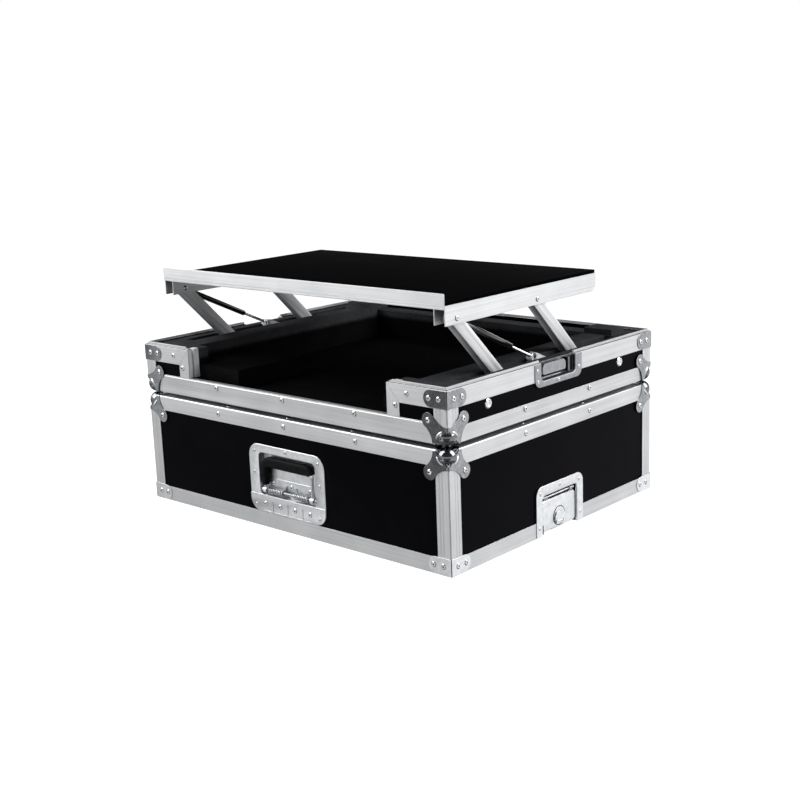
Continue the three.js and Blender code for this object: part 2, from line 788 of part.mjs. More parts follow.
const gripOuter = bailArm + GRIP_ARM / 2;
const gripInner = bailArm - GRIP_ARM / 2;
const gripTop = GRIP_Z + GRIP_HEIGHT / 2;
const gripBody = join(
  raised(
    roundedRectangle([-gripOuter, gripOuter], [gripTop - GRIP_HEIGHT, gripTop], 0, BAIL_BEND),
    -GRIP_DEPTH / 2,
    GRIP_DEPTH / 2,
  ),
  ...[-1, 1].map((side) => block(
    side < 0 ? [-gripOuter, -gripInner] : [gripInner, gripOuter],
    [GRIP_Z - GRIP_ARM_LENGTH, GRIP_Z],
    [-GRIP_DEPTH / 2, GRIP_DEPTH / 2],
  )),
);
const handleGrip = cut(
  moved(gripBody.rotateX(Math.PI / 2), 0, AXLE_Y, 0),
  tube(bailTrack, BAIL_WIRE + FIT, SMALL_SEGMENTS),
);

const axleEnd = POCKET_WIDTH / 2 - FIT;
const handleAxle = barAlongX(AXLE_RADIUS, -axleEnd, axleEnd, AXLE_Y, AXLE_Z, AXLE_SEGMENTS);

// A coil wound on the axle from its inner tail at the back to its outer tail at the front
const coilRadius = AXLE_RADIUS + SPRING_PLAY + SPRING_WIRE;
const coilOuterEnd = bailArm - EYE_LENGTH / 2 - 3 * SPRING_WIRE;
const coilTurns = Math.floor((coilOuterEnd - SPRING_INNER_END) / SPRING_PITCH) - 0.5;

function springTrack() {
  const points = [[SPRING_INNER_END, AXLE_Y + coilRadius, AXLE_Z + SPRING_TAIL]];
  const steps = coilTurns * SPRING_STEPS;
  for (let i = 0; i <= steps; i += 1) {
    const angle = (-2 * Math.PI * i) / SPRING_STEPS;
    points.push([
      SPRING_INNER_END + (SPRING_PITCH * i) / SPRING_STEPS,
      AXLE_Y + coilRadius * Math.cos(angle),
      AXLE_Z + coilRadius * Math.sin(angle),
    ]);
  }
  const last = points[points.length - 1];
  points.push([last[0], last[1], AXLE_Z + SPRING_TAIL]);
  return points;
}

const spring = tube(springTrack(), SPRING_WIRE, WIRE_SIDES);

// The wire's least gap to itself, between points that lie more than half a turn apart on the track
function leastGap(track) {
  const points = [];
  let travelled = 0;
  for (let i = 1; i < track.length; i += 1) {
    const from = new THREE.Vector3(...track[i - 1]);
    const to = new THREE.Vector3(...track[i]);
    const length = from.distanceTo(to);
    for (let at = 0; at < length; at += SPRING_SAMPLE) {
      points.push({ place: from.clone().lerp(to, at / length), along: travelled + at });
    }
    travelled += length;
  }
  let least = Infinity;
  points.forEach(({ place, along }, i) => {
    for (const other of points.slice(i + 1)) {
      if (other.along - along > Math.PI * coilRadius) least = Math.min(least, place.distanceTo(other.place));
    }
  });
  return least - 2 * SPRING_WIRE;
}

console.log(`handle_spring: least gap to itself ${leastGap(springTrack()).toFixed(2)} mm`);

// Latch dish, open at the bottom, its flange outside the rim and against the panel above it
const latchFlange = cut(
  raised(
    roundedRectangle([-LATCH_WIDTH / 2, LATCH_WIDTH / 2], [LATCH_LIFT, LATCH_HEIGHT], 0, LATCH_ROUND),
    FIT - PANEL_FACE,
    FIT + PLATE,
  ),
  cut(railBand(0, RAIL_LEG), latchHole),
);
const latchShell = cut(
  recess(
    LATCH_POCKET_WIDTH, [0, LATCH_POCKET_TOP], 0, POCKET_ROUND, PLATE, LATCH_POCKET_DEPTH + PLATE, FIT,
  ),
  block([-LATCH_WIDTH, LATCH_WIDTH], [-OVERRUN, LATCH_LIFT], [-2 * PANEL_BACK, OVERRUN]),
);
const latchPocket = recess(
  LATCH_POCKET_WIDTH, [-OVERRUN, LATCH_POCKET_TOP], 0, POCKET_ROUND, 0, LATCH_POCKET_DEPTH, OVERRUN,
);
// Cover on the dish's back: a flanged plate over the hook, bored for the spindle
const coverHalf = LATCH_COVER_WIDTH / 2;
const coverOut = -COVER_SET_BACK;
const latchCover = cut(
  raised(
    roundedRectangle([-coverHalf, coverHalf], [LATCH_COVER_LOW, LATCH_COVER_TOP], 0, COVER_WALL * 2),
    -LATCH_POCKET_DEPTH - FIT,
    coverOut,
  ),
  block(
    [COVER_WALL - coverHalf, coverHalf - COVER_WALL],
    [LATCH_COVER_LOW - OVERRUN, LATCH_COVER_TOP + OVERRUN],
    [-LATCH_POCKET_DEPTH - OVERRUN, coverOut - COVER_WALL],
  ),
  moved(raised(new THREE.Shape().absarc(0, 0, SPINDLE_RADIUS + FIT, 0, 2 * Math.PI, false),
    -LATCH_POCKET_DEPTH, OVERRUN), 0, SPINDLE_HEIGHT, 0),
);
const latchDish = join(cut(join(latchFlange, latchShell), latchPocket), latchCover);

// Hook plate: slides behind the cover and turns out at its lower end
const hookBack = 2 * FIT - LATCH_POCKET_DEPTH;
const hookFace = hookBack + HOOK_THICK;
const hookSides = [-HOOK_WIDTH / 2, HOOK_WIDTH / 2];
const latchHook = join(
  block(hookSides, [HOOK_LOW, HOOK_TOP], [hookBack, hookFace]),
  block(hookSides, [HOOK_LOW, HOOK_LOW + HOOK_THICK], [hookBack, hookFace + HOOK_LIP]),
);

// Spindle with its disc and the two lugs that carry the wing
const discBack = coverOut + FIT;
const discFace = discBack + DISC_THICK;
const wingPlane = discFace + FIT + KNUCKLE_RADIUS;
const wingLow = SPINDLE_HEIGHT - WING_RISE / 2;
const lugIn = WING_RADIUS - 2 * LUG_WIDTH;
const lugHalf = 2 * KNUCKLE_RADIUS;

function disc(radius, low, high, segments) {
  const bar = new THREE.CylinderGeometry(radius, radius, high - low, segments);
  return bar.rotateX(Math.PI / 2).translate(0, SPINDLE_HEIGHT, (low + high) / 2);
}

const latchSpindle = join(
  disc(SPINDLE_RADIUS, hookFace + 2 * FIT, discBack + DISC_THICK / 2, ROUND_SEGMENTS),
  disc(DISC_RADIUS, discBack, discFace, ROUND_SEGMENTS + SMALL_SEGMENTS),
  ...[-1, 1].map((side) => block(
    side < 0 ? [-lugIn - LUG_WIDTH, -lugIn] : [lugIn, lugIn + LUG_WIDTH],
    [wingLow - lugHalf, wingLow + lugHalf],
    [discFace - DISC_THICK / 2, wingPlane + KNUCKLE_RADIUS],
  )),
);

// Wing: a D-shaped plate with its knuckle along the straight edge
const wingStart = wingLow + lugHalf + FIT;
const wingHalf = WING_THICK / 2;
const wingShape = new THREE.Shape();
wingShape.moveTo(-WING_RADIUS, wingStart);
wingShape.lineTo(WING_RADIUS, wingStart);
wingShape.bezierCurveTo(
  WING_RADIUS, wingLow + WING_RISE, WING_RADIUS / 2, wingLow + WING_RISE, 0, wingLow + WING_RISE,
);
wingShape.bezierCurveTo(
  -WING_RADIUS / 2, wingLow + WING_RISE, -WING_RADIUS, wingLow + WING_RISE, -WING_RADIUS, wingStart,
);
const knuckleEnd = lugIn - FIT;
const latchWing = join(
  raised(wingShape, wingPlane - wingHalf, wingPlane + wingHalf),
  block(
    [-knuckleEnd, knuckleEnd],
    [wingLow, wingStart + WING_THICK],
    [wingPlane - wingHalf, wingPlane + wingHalf],
  ),
  barAlongX(KNUCKLE_RADIUS, -knuckleEnd, knuckleEnd, wingLow, wingPlane, SMALL_SEGMENTS),
);

// Tray panels
const trayWallTop = SHOULDER - RIM_BASE - FIT;
const trayWallLow = FLOOR_TOP + FIT;
const catchHole = recess(
  CATCH_POCKET_WIDTH, [CATCH_FLOOR, CATCH_TOP + OVERRUN], CATCH_POCKET_ROUND, 0, PLATE + FIT,
  2 * PANEL_BACK, OVERRUN,
);
const pivotY = FRONT_PIVOT - HALF_DEPTH;
const pivotZ = TRAY_BASE + PIVOT_HEIGHT;
const boltZ = TRAY_BASE + BOLT_HEIGHT;
const railSpan = [-ARM_RAIL_LENGTH / 2, ARM_RAIL_LENGTH / 2];
const boltPlaces = [railSpan[0] + RAIL_BOLT_INSET, railSpan[1] - RAIL_BOLT_INSET];
const trayFloor = cut(
  block(
    [-topReachX, topReachX],
    [-topReachY, topReachY],
    [TRAY_BASE + PANEL_FACE, FLOOR_TOP],
  ),
  ...trayChips,
);
const trayRearPanel = cut(wall(2, trayWallLow, trayWallTop), ...trayChips);
const cutoutHalf = HALF_OPENING + POST_WEB;
const sillPanelTop = SILL_TOP - RAIL_WALL - FIT;
const trayFrontPanel = cut(
  wall(0, trayWallLow, trayWallTop),
  onFace(
    block([-cutoutHalf - FIT, cutoutHalf + FIT], [sillPanelTop, SHOULDER], [-2 * PANEL_BACK, OVERRUN]),
    0,
  ),
  ...trayChips,
);

// Tray extrusions: the bottom frame carries the deeper front face, the sill and the upright corners
const sillInner = SILL_TOP - RAIL_WALL - RIM_INNER_LEG;
const sillSection = [
  [RAIL_WALL / 2, SILL_TOP - RAIL_WALL],
  [PANEL_BACK + FIT, SILL_TOP - RAIL_WALL],
  [PANEL_BACK + FIT, sillInner],
  [RIM_THICK, sillInner],
  [RIM_THICK, SILL_TOP],
  [RAIL_WALL / 2, SILL_TOP],
];
const rimRailLow = SHOULDER - TRAY_RIM_LEG;
const trayBottomFrame = join(
  cut(
    join(
      extrusion(angleSection(TRAY_BASE, -1, RAIL_LEG), RING, true),
      block(
        [-HALF_WIDTH, HALF_WIDTH],
        [-HALF_DEPTH, RAIL_WALL - HALF_DEPTH],
        [TRAY_BASE + RAIL_LEG / 2, SILL_TOP],
      ),
      extrusion(sillSection, [endStation(0, -cutoutHalf), endStation(0, cutoutHalf)], false),
    ),
    ...trayChips,
  ),
  ...CORNERS.map(([sx, sy]) => (
    atCorner(cornerRail(TRAY_BASE + RAIL_LEG - RAIL_WALL, rimRailLow - FIT), sx, sy)
  )),
);

// Slotted post and face strip at the end of the right ear
const post = cut(
  block(
    [HALF_OPENING, HALF_OPENING + POST_WEB],
    [-HALF_DEPTH, POST_DEPTH - HALF_DEPTH],
    [SILL_TOP + FIT, SHOULDER],
  ),
  block(
    [HALF_OPENING - OVERRUN, HALF_OPENING + SLOT_DEPTH],
    [SLOT_INSET - HALF_DEPTH, SLOT_INSET + SLOT_WIDTH - HALF_DEPTH],
    [SILL_TOP - OVERRUN, SHOULDER + OVERRUN],
  ),
);
const strip = block(
  [HALF_OPENING, HALF_OPENING + POST_FACE],
  [-HALF_DEPTH, RAIL_WALL - HALF_DEPTH],
  [SILL_TOP + FIT, rimRailLow + RAIL_WALL],
);

// Tray rims: one round each front corner with the ear's post, and one across the rear
const trayBracketTop = SHOULDER - BRACKET_MARGIN;
const trayBracket = flatBracket(trayBracketTop - BRACKET_HEIGHT, trayBracketTop);
const trayRimFrontRight = join(
  extrusion(
    trayRimSection(),
    [endStation(0, cutoutHalf - RAIL_WALL / 2), RING[1], endStation(1, -CATCH_RAIL_END)],
    false,
  ),
  post,
  strip,
  atCorner(trayBracket, 1, -1),
);
const trayRimRear = join(
  extrusion(
    trayRimSection(),
    [endStation(1, CATCH_RAIL_END), RING[2], RING[3], endStation(3, -CATCH_RAIL_END)],
    false,
  ),
  atCorner(trayBracket, 1, 1),
  atCorner(trayBracket, -1, 1),
);

// Catch dish, open at the top, and its keeper
const catchFlange = cut(
  raised(
    roundedRectangle([-CATCH_WIDTH / 2, CATCH_WIDTH / 2], [CATCH_LOW, CATCH_TOP], CATCH_ROUND, 0),
    FIT - PANEL_FACE,
    FIT + PLATE,
  ),
  cut(railBand(rimRailLow, SHOULDER), catchHole),
);
const catchShell = cut(
  recess(
    CATCH_POCKET_WIDTH,
    [CATCH_FLOOR, CATCH_TOP],
    CATCH_POCKET_ROUND,
    0,
    PLATE,
    CATCH_POCKET_DEPTH + PLATE,
    FIT,
  ),
  block([-CATCH_WIDTH, CATCH_WIDTH], [CATCH_TOP, CATCH_TOP + OVERRUN], [-2 * PANEL_BACK, OVERRUN]),
);
const catchPocket = recess(
  CATCH_POCKET_WIDTH,
  [CATCH_FLOOR, CATCH_TOP + OVERRUN],
  CATCH_POCKET_ROUND,
  0,
  0,
  CATCH_POCKET_DEPTH,
  OVERRUN,
);
const keeperLow = (CATCH_FLOOR + CATCH_TOP - KEEPER_HEIGHT) / 2;
const keeperBack = -CATCH_POCKET_DEPTH - FIT;
const keeper = join(
  block(
    [-KEEPER_WIDTH / 2, KEEPER_WIDTH / 2],
    [keeperLow, keeperLow + KEEPER_HEIGHT],
    [keeperBack, PLATE - CATCH_POCKET_DEPTH],
  ),
  block(
    [-KEEPER_WIDTH / 2, KEEPER_WIDTH / 2],
    [keeperLow, keeperLow + HOOK_THICK],
    [keeperBack, KEEPER_LIP + PLATE - CATCH_POCKET_DEPTH],
  ),
);
const catchDish = join(
  cut(join(catchFlange, catchShell), catchPocket),
  keeper,
);

// Channels that hold the arms: upright in the tray, inverted under the shelf
const ARM_PLANE = HALF_WIDTH - SHELF_INSET - CHANNEL_WIDTH / 2;
const channelHalf = CHANNEL_WIDTH / 2;

// Channel along Y about X = 0, with its flanges downwards from the top
function channel([front, rear], top) {
  return cut(
    block([-channelHalf, channelHalf], [front, rear], [top - CHANNEL_HEIGHT, top]),
    block(
      [CHANNEL_WALL - channelHalf, channelHalf - CHANNEL_WALL],
      [front - OVERRUN, rear + OVERRUN],
      [top - CHANNEL_HEIGHT - OVERRUN, top - CHANNEL_WALL],
    ),
  );
}

const lowerPivots = [[pivotY, pivotZ], [pivotY + PIVOT_SPACING, pivotZ]];
const armReachY = -ARM_LENGTH * Math.sin(ARM_LEAN);
const armReachZ = ARM_LENGTH * Math.cos(ARM_LEAN);
const upperPivots = lowerPivots.map(([y, z]) => [y + armReachY, z + armReachZ]);

function pivotBores(places) {
  return places.map(([y, z]) => (
    barAlongX(PIVOT_RADIUS + FIT, -CHANNEL_WIDTH, CHANNEL_WIDTH, y, z, SMALL_SEGMENTS)
  ));
}

const railTop = pivotZ + PIVOT_EDGE;
const railLow = railTop - CHANNEL_HEIGHT;

// Bolts through the tray's side with a cup washer outside and a nut in the arm rail
const cupSeat = HALF_WIDTH - PANEL_FACE + FIT - ARM_PLANE;
const nutFace = channelHalf - CHANNEL_WALL + FIT;

function railBolt(y) {
  const cup = [
    [0, 0],
    [CUP_RADIUS, 0],
    [CUP_RADIUS * Math.SQRT1_2, CUP_RISE],
    [0, CUP_RISE],
  ].map(([r, z]) => new THREE.Vector2(r, z));
  return moved(join(
    new THREE.LatheGeometry(cup, ROUND_SEGMENTS).rotateZ(-Math.PI / 2).translate(cupSeat, 0, 0),
    barAlongX(BOLT_RADIUS, nutFace - NUT_THICK, cupSeat + CUP_RISE / 2, 0, 0, SMALL_SEGMENTS),
    barAlongX(NUT_RADIUS, nutFace - NUT_THICK, nutFace, 0, 0, NUT_SIDES),
  ), 0, y, boltZ);
}

// Pivot studs: one through each flange, leaving the middle of the arm clear
const studEnd = ARM_WIDTH / 2 - ARM_WALL - FIT;

function pivotStuds(places) {
  return places.flatMap(([y, z]) => {
    const stud = join(
      barAlongX(PIVOT_RADIUS, studEnd, channelHalf + PIVOT_HEAD_RISE / 2, y, z, SMALL_SEGMENTS),
      barAlongX(PIVOT_HEAD_RADIUS, channelHalf - FIT, channelHalf + PIVOT_HEAD_RISE, y, z, SMALL_SEGMENTS),
    );
    return [stud, mirrored(stud, -1, 1, 1)];
  });
}

// Spacer between the side panel and the arm rail, bored for the bolts and the pivots' heads
const boltBores = boltPlaces.map((y) => (
  barAlongX(BOLT_RADIUS + FIT, 0, HALF_WIDTH + OVERRUN, y, boltZ, SMALL_SEGMENTS)
));
const headBores = lowerPivots.map(([y, z]) => (
  barAlongX(PIVOT_HEAD_RADIUS + 2 * FIT, 0, HALF_WIDTH - PANEL_BACK, y, z, SMALL_SEGMENTS)
));
const traySidePanel = cut(
  join(
    wall(1, trayWallLow, trayWallTop),
    block(
      [ARM_PLANE + channelHalf + FIT, HALF_WIDTH - PANEL_BACK + FIT],
      railSpan,
      [railLow, railTop],
    ),
  ),
  onFace(catchHole, 1),
  ...trayChips,
  ...boltBores,
  ...headBores,
);

// An arm: round-ended channel, web at the back, drawn upright from its lower pivot
const armEnd = ARM_DEPTH / 2;

function arm(webTop) {
  const shape = new THREE.Shape();
  shape.absarc(0, ARM_LENGTH, armEnd, 0, Math.PI, false);
  shape.absarc(0, 0, armEnd, Math.PI, 2 * Math.PI, false);
  const inner = ARM_WIDTH / 2 - ARM_WALL;
  const trough = [-armEnd - OVERRUN, armEnd - ARM_WALL];
  const ends = [-armEnd - OVERRUN, ARM_LENGTH + armEnd + OVERRUN];
  return cut(
    alongX(shape, -ARM_WIDTH / 2, ARM_WIDTH / 2),
    block([-inner, inner], trough, ends),
    block([-inner, inner], [-armEnd, armEnd + OVERRUN], [webTop, ARM_LENGTH + armEnd + OVERRUN]),
    ...pivotBores([[0, 0], [0, ARM_LENGTH]]),
  ).rotateX(ARM_LEAN);
}

const frontArm = arm(ARM_LENGTH + armEnd - STRUT_NOTCH);
const rearArm = arm(ARM_LENGTH + armEnd - ARM_WEB_END);

function placedArm(geometry, side, [y, z]) {
  return moved(geometry, side * ARM_PLANE, y, z);
}

// Gas strut, drawn along Z from the anchor eye up to the eye at the shelf's pivot
const anchorY = ANCHOR_AT - HALF_DEPTH;
const anchorZ = TRAY_BASE + ANCHOR_HEIGHT;
const strutY = upperPivots[0][0] - anchorY;
const strutZ = upperPivots[0][1] - anchorZ;
const strutLength = Math.hypot(strutY, strutZ);
const strutTurn = Math.atan2(-strutY, strutZ);

function alongZ(radius, low, high, segments) {
  const bar = new THREE.CylinderGeometry(radius, radius, high - low, segments);
  return bar.rotateX(Math.PI / 2).translate(0, 0, (low + high) / 2);
}

function eye(radius, bore, thick, z) {
  return cut(
    barAlongX(radius, -thick / 2, thick / 2, 0, z),
    barAlongX(bore, -thick, thick, 0, z),
  );
}

const tubeLow = strutLength - STRUT_END;
const tubeHigh = strutLength - STRUT_SHOULDER;
const eyeBore = PIVOT_RADIUS + STRUT_EYE_PLAY;
const strutNeck = cut(
  alongZ(STRUT_RADIUS - FIT * 4, tubeHigh - OVERRUN, strutLength, ROUND_SEGMENTS),
  barAlongX(eyeBore, -STRUT_EYE_THICK, STRUT_EYE_THICK, 0, strutLength),
);
const strutTube = cut(
  join(
    alongZ(STRUT_RADIUS, tubeLow, tubeHigh, ROUND_SEGMENTS),
    strutNeck,
    eye(STRUT_EYE_RADIUS, eyeBore, STRUT_EYE_THICK, strutLength),
  ),
  alongZ(ROD_RADIUS + FIT, tubeLow - OVERRUN, tubeHigh - RAIL_WALL, ROUND_SEGMENTS),
);
const strutRod = join(
  alongZ(ROD_RADIUS, HOOK_EYE_RADIUS - ROD_RADIUS / 2, ROD_LENGTH, ROUND_SEGMENTS),
  eye(HOOK_EYE_RADIUS, PIVOT_RADIUS + FIT, HOOK_EYE_THICK, 0),
);

function placedStrut(geometry, side) {
  return moved(geometry.clone().rotateX(strutTurn), side * ARM_PLANE, anchorY, anchorZ);
}

// Bracket of the strut: two cheeks joined at the foot, a pin, and a sloping tail
const cheekIn = HOOK_EYE_THICK / 2 + FIT;
const cheekOut = cheekIn + ANCHOR_WALL;
const anchorFootZ = railLow + CHANNEL_WALL - FIT - anchorZ;
const tailFloor = railTop + FIT - anchorZ;
const cheekShape = outline([
  [-ANCHOR_FOOT / 2, anchorFootZ],
  [ANCHOR_FOOT / 2, anchorFootZ],
  [ANCHOR_FOOT / 2, tailFloor],
  [ANCHOR_TAIL, tailFloor],
  [ANCHOR_TAIL, -ANCHOR_TAIL_HEIGHT],
  [ANCHOR_TAIL / 2, -ANCHOR_TAIL_HEIGHT],
  ...arc(0, 0, ANCHOR_ROUND, Math.PI / 4, Math.PI, ARC_STEPS),
]);
const cheek = alongX(cheekShape, cheekIn, cheekOut);
const strutBracket = moved(join(
  cheek,
  mirrored(cheek, -1, 1, 1),
  block([-cheekOut, cheekOut], [-ANCHOR_FOOT / 2, ANCHOR_FOOT / 2], [anchorFootZ, tailFloor]),
  barAlongX(PIVOT_RADIUS, -cheekOut, cheekOut, 0, 0, AXLE_SEGMENTS),
), 0, anchorY, anchorZ);

// The right arm rail: an upright channel with its bolts, the arms' studs and the strut's bracket
const armRail = moved(join(
  moved(mirrored(channel(railSpan, 0), 1, 1, -1), 0, 0, railLow),
  ...boltPlaces.map(railBolt),
  ...pivotStuds(lowerPivots),
  strutBracket,
), ARM_PLANE, 0, 0);

// Laptop shelf
const shelfHalf = HALF_WIDTH - SHELF_INSET;
const shelfFront = SHELF_FRONT - HALF_DEPTH;
const shelfRear = shelfFront + SHELF_DEPTH;
const channelTop = upperPivots[0][1] - PIVOT_EDGE + CHANNEL_HEIGHT;
const boardFront = shelfFront + LIP_WALL + FIT;
const boardLow = channelTop + FIT;
const boardTop = boardLow + BOARD_THICK;
const boardShape = roundedRectangle([-shelfHalf, shelfHalf], [boardFront, shelfRear], 0, BOARD_ROUND);
const shelfBoard = raised(boardShape, boardLow, boardTop);
const chamfer = outline([
  [shelfRear + OVERRUN, channelTop - CHANNEL_HEIGHT - OVERRUN],
  [shelfRear + OVERRUN, channelTop - CHANNEL_HEIGHT + CHANNEL_CHAMFER + OVERRUN],
  [shelfRear - CHANNEL_CHAMFER - OVERRUN, channelTop - CHANNEL_HEIGHT - OVERRUN],
]);
const shelfChannel = moved(join(
  cut(
    channel([boardFront, shelfRear], channelTop),
    alongX(chamfer, -CHANNEL_WIDTH, CHANNEL_WIDTH),
  ),
  ...pivotStuds(upperPivots),
), ARM_PLANE, 0, 0);
const lipLow = boardLow - LIP_DROP;
const lipLegTop = boardLow - FIT;
const lipLegHalf = ARM_PLANE - channelHalf - FIT;
const shelfLip = join(
  block([-shelfHalf, shelfHalf], [shelfFront, shelfFront + LIP_WALL], [lipLow, lipLow + LIP_HEIGHT]),
  block([-lipLegHalf, lipLegHalf], [shelfFront, shelfFront + LIP_LEG], [lipLegTop - LIP_WALL, lipLegTop]),
);

// Foam: a base sheet, a block along each side with a slot for the arms, and a block at the rear
const foamX = HALF_WIDTH - PANEL_BACK - FOAM_GAP;
const foamFront = POST_DEPTH + FOAM_GAP - HALF_DEPTH;
const foamRear = HALF_DEPTH - PANEL_BACK - 2 * FOAM_GAP;
const foamBaseTop = FLOOR_TOP + FOAM_GAP + FOAM_BASE;
const foamLow = foamBaseTop + FOAM_GAP;
const foamTop = TRAY_BASE + SIDE_FOAM_TOP;
const foamIn = foamX - SIDE_FOAM_WIDTH;
const rearPadMiddle = HALF_DEPTH - REAR_PAD_INSET;
const foamBase = block(
  [-foamX, foamX],
  [RIM_THICK + FOAM_GAP - HALF_DEPTH, foamRear],
  [FLOOR_TOP + FOAM_GAP, foamBaseTop],
);
const slotHalf = ARM_WIDTH / 2 + ARM_SLOT_PLAY;
const railCut = [ARM_PLANE - channelHalf - PIVOT_HEAD_RISE - FOAM_GAP, HALF_WIDTH];
const railCutSpan = [railSpan[0] - FOAM_GAP, railSpan[1] + FOAM_GAP];
const rimCutLow = SHOULDER - RIM_BASE - RIM_INNER_LEG - FOAM_GAP;
const sideRimCut = block(
  [HALF_WIDTH - RIM_THICK - FOAM_GAP, HALF_WIDTH],
  [-HALF_DEPTH, HALF_DEPTH],
  [rimCutLow, SHOULDER + OVERRUN],
);
const rearRimCut = block(
  [-HALF_WIDTH, HALF_WIDTH],
  [HALF_DEPTH - RIM_THICK - FOAM_GAP, HALF_DEPTH],
  [rimCutLow, SHOULDER + OVERRUN],
);
const latchSideCut = block(
  [HALF_WIDTH - CATCH_POCKET_DEPTH - PLATE - 2 * FOAM_GAP, HALF_WIDTH],
  [-CATCH_WIDTH / 2, CATCH_WIDTH / 2],
  [CATCH_LOW, SHOULDER + OVERRUN],
);

function sideFoam(ledgeWidth) {
  return cut(
    join(
      block([foamIn, foamX], [foamFront, foamRear], [foamLow, foamTop]),
      block(
        [foamIn - ledgeWidth, foamIn + OVERRUN],
        [foamFront, foamFront + LEDGE_DEPTH],
        [foamLow, TRAY_BASE + LEDGE_TOP],
      ),
      block(
        [HALF_OPENING, foamIn + OVERRUN],
        [foamFront, foamFront + EAR_FOAM_DEPTH],
        [foamLow, foamTop],
      ),
      block(
        [foamIn, foamIn + REAR_PAD_WIDTH],
        [rearPadMiddle - REAR_PAD_DEPTH / 2, rearPadMiddle + REAR_PAD_DEPTH / 2],
        [foamTop - OVERRUN, foamTop + REAR_PAD_RISE],
      ),
    ),
    block(railCut, railCutSpan, [foamLow - OVERRUN, railTop + FOAM_GAP]),
    block(
      [ARM_PLANE - slotHalf, ARM_PLANE + slotHalf],
      railCutSpan,
      [foamLow, foamTop + OVERRUN],
    ),
    sideRimCut,
    rearRimCut,
    latchSideCut,
  );
}

const rearFoamHalf = foamIn - FOAM_GAP;
const foamFloor = join(
  foamBase,
  cut(
    block(
      [-rearFoamHalf, rearFoamHalf],
      [foamRear - REAR_FOAM_DEPTH, foamRear],
      [foamBaseTop - FOAM_GAP, TRAY_BASE + REAR_FOAM_TOP],
    ),
    rearRimCut,
  ),
);

// Finishes
function finish(color, roughness, metalness) {
  return new THREE.MeshStandardMaterial({ color, roughness, metalness });
}

const laminate = finish('#17181a', 0.5, 0);
const aluminium = finish('#c3c5c8', 0.34, 1);
const zinc = finish('#b4b7ba', 0.3, 1);
const steel = finish('#9c9fa3', 0.36, 1);
const rubber = finish('#1b1b1c', 0.7, 0);
const blackBoard = finish('#141415', 0.45, 0);
const foam = finish('#101011', 0.95, 0);
const blackSteel = finish('#16171a', 0.4, 0.6);
const chromedRod = finish('#d8dadd', 0.12, 1);

const group = new THREE.Group();
group.name = 'dj_controller_flight_case';

function add(name, geometry, material) {
  const shape = clean(geometry);
  shape.computeVertexNormals();
  const mesh = new THREE.Mesh(shape, material);
  mesh.name = name;
  group.add(mesh);
}

function addBoth(name, geometry, material) {
  add(`${name}_right`, geometry, material);
  add(`${name}_left`, mirrored(geometry, -1, 1, 1), material);
}

add('lid_front_panel', lidFrontPanel, laminate);
add('lid_rear_panel', lidRearPanel, laminate);
addBoth('lid_panel', lidSidePanel(1), laminate);
add('lid_top_panel', lidTopPanel, laminate);
add('lid_top_frame', lidTopFrame, aluminium);
add('lid_rim_front', lidRimFront, aluminium);
add('lid_rim_rear', lidRimRear, aluminium);
add('handle_dish', handleDish, zinc);
add('handle_hinge_plate', hingePlate, zinc);
add('handle_axle', handleAxle, steel);
addBoth('handle_spring', spring, steel);
add('handle_bail', handleBail, steel);
add('handle_grip', handleGrip, rubber);
for (const [side, turn] of SIDES) {
  add(`latch_dish_${side}`, onFace(latchDish, turn), zinc);
  add(`latch_hook_${side}`, onFace(latchHook, turn), zinc);
  add(`latch_spindle_${side}`, onFace(latchSpindle, turn), zinc);
  add(`latch_wing_${side}`, onFace(latchWing, turn), zinc);
  add(`catch_dish_${side}`, onFace(catchDish, turn), zinc);
}
add('tray_floor', trayFloor, laminate);
add('tray_front_panel', trayFrontPanel, laminate);
add('tray_rear_panel', trayRearPanel, laminate);
addBoth('tray_panel', traySidePanel, laminate);
add('tray_bottom_frame', trayBottomFrame, aluminium);
addBoth('tray_rim_front', trayRimFrontRight, aluminium);
add('tray_rim_rear', trayRimRear, aluminium);
for (const [index, [sx, sy]] of CORNERS.entries()) {
  const name = CORNER_NAMES[index];
  const lidCorner = atCorner(ballCorner(RAIL_LEG), sx, sy);
  const trayCorner = mirrored(ballCorner(sy < 0 ? FRONT_RAIL_LEG : RAIL_LEG), 1, 1, -1);
  add(`lid_ball_corner_${name}`, moved(lidCorner, 0, 0, LID_HEIGHT), zinc);
  add(`tray_ball_corner_${name}`, moved(atCorner(trayCorner, sx, sy), 0, 0, TRAY_BASE), zinc);
}
addBoth('arm_rail', armRail, aluminium);
add('foam_floor', foamFloor, foam);
add('foam_right', sideFoam(RIGHT_LEDGE_WIDTH), foam);
add('foam_left', mirrored(sideFoam(LEFT_LEDGE_WIDTH), -1, 1, 1), foam);
add('shelf_board', shelfBoard, blackBoard);
add('shelf_front_lip', shelfLip, aluminium);
addBoth('shelf_channel', shelfChannel, aluminium);
addBoth('arm_front', placedArm(frontArm, 1, lowerPivots[0]), aluminium);
addBoth('arm_rear', placedArm(rearArm, 1, lowerPivots[1]), aluminium);
addBoth('strut_tube', placedStrut(strutTube, 1), blackSteel);
addBoth('strut_rod', placedStrut(strutRod, 1), chromedRod);

export default group;
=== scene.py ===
import math

import bmesh
import bpy
from mathutils import Matrix, Vector


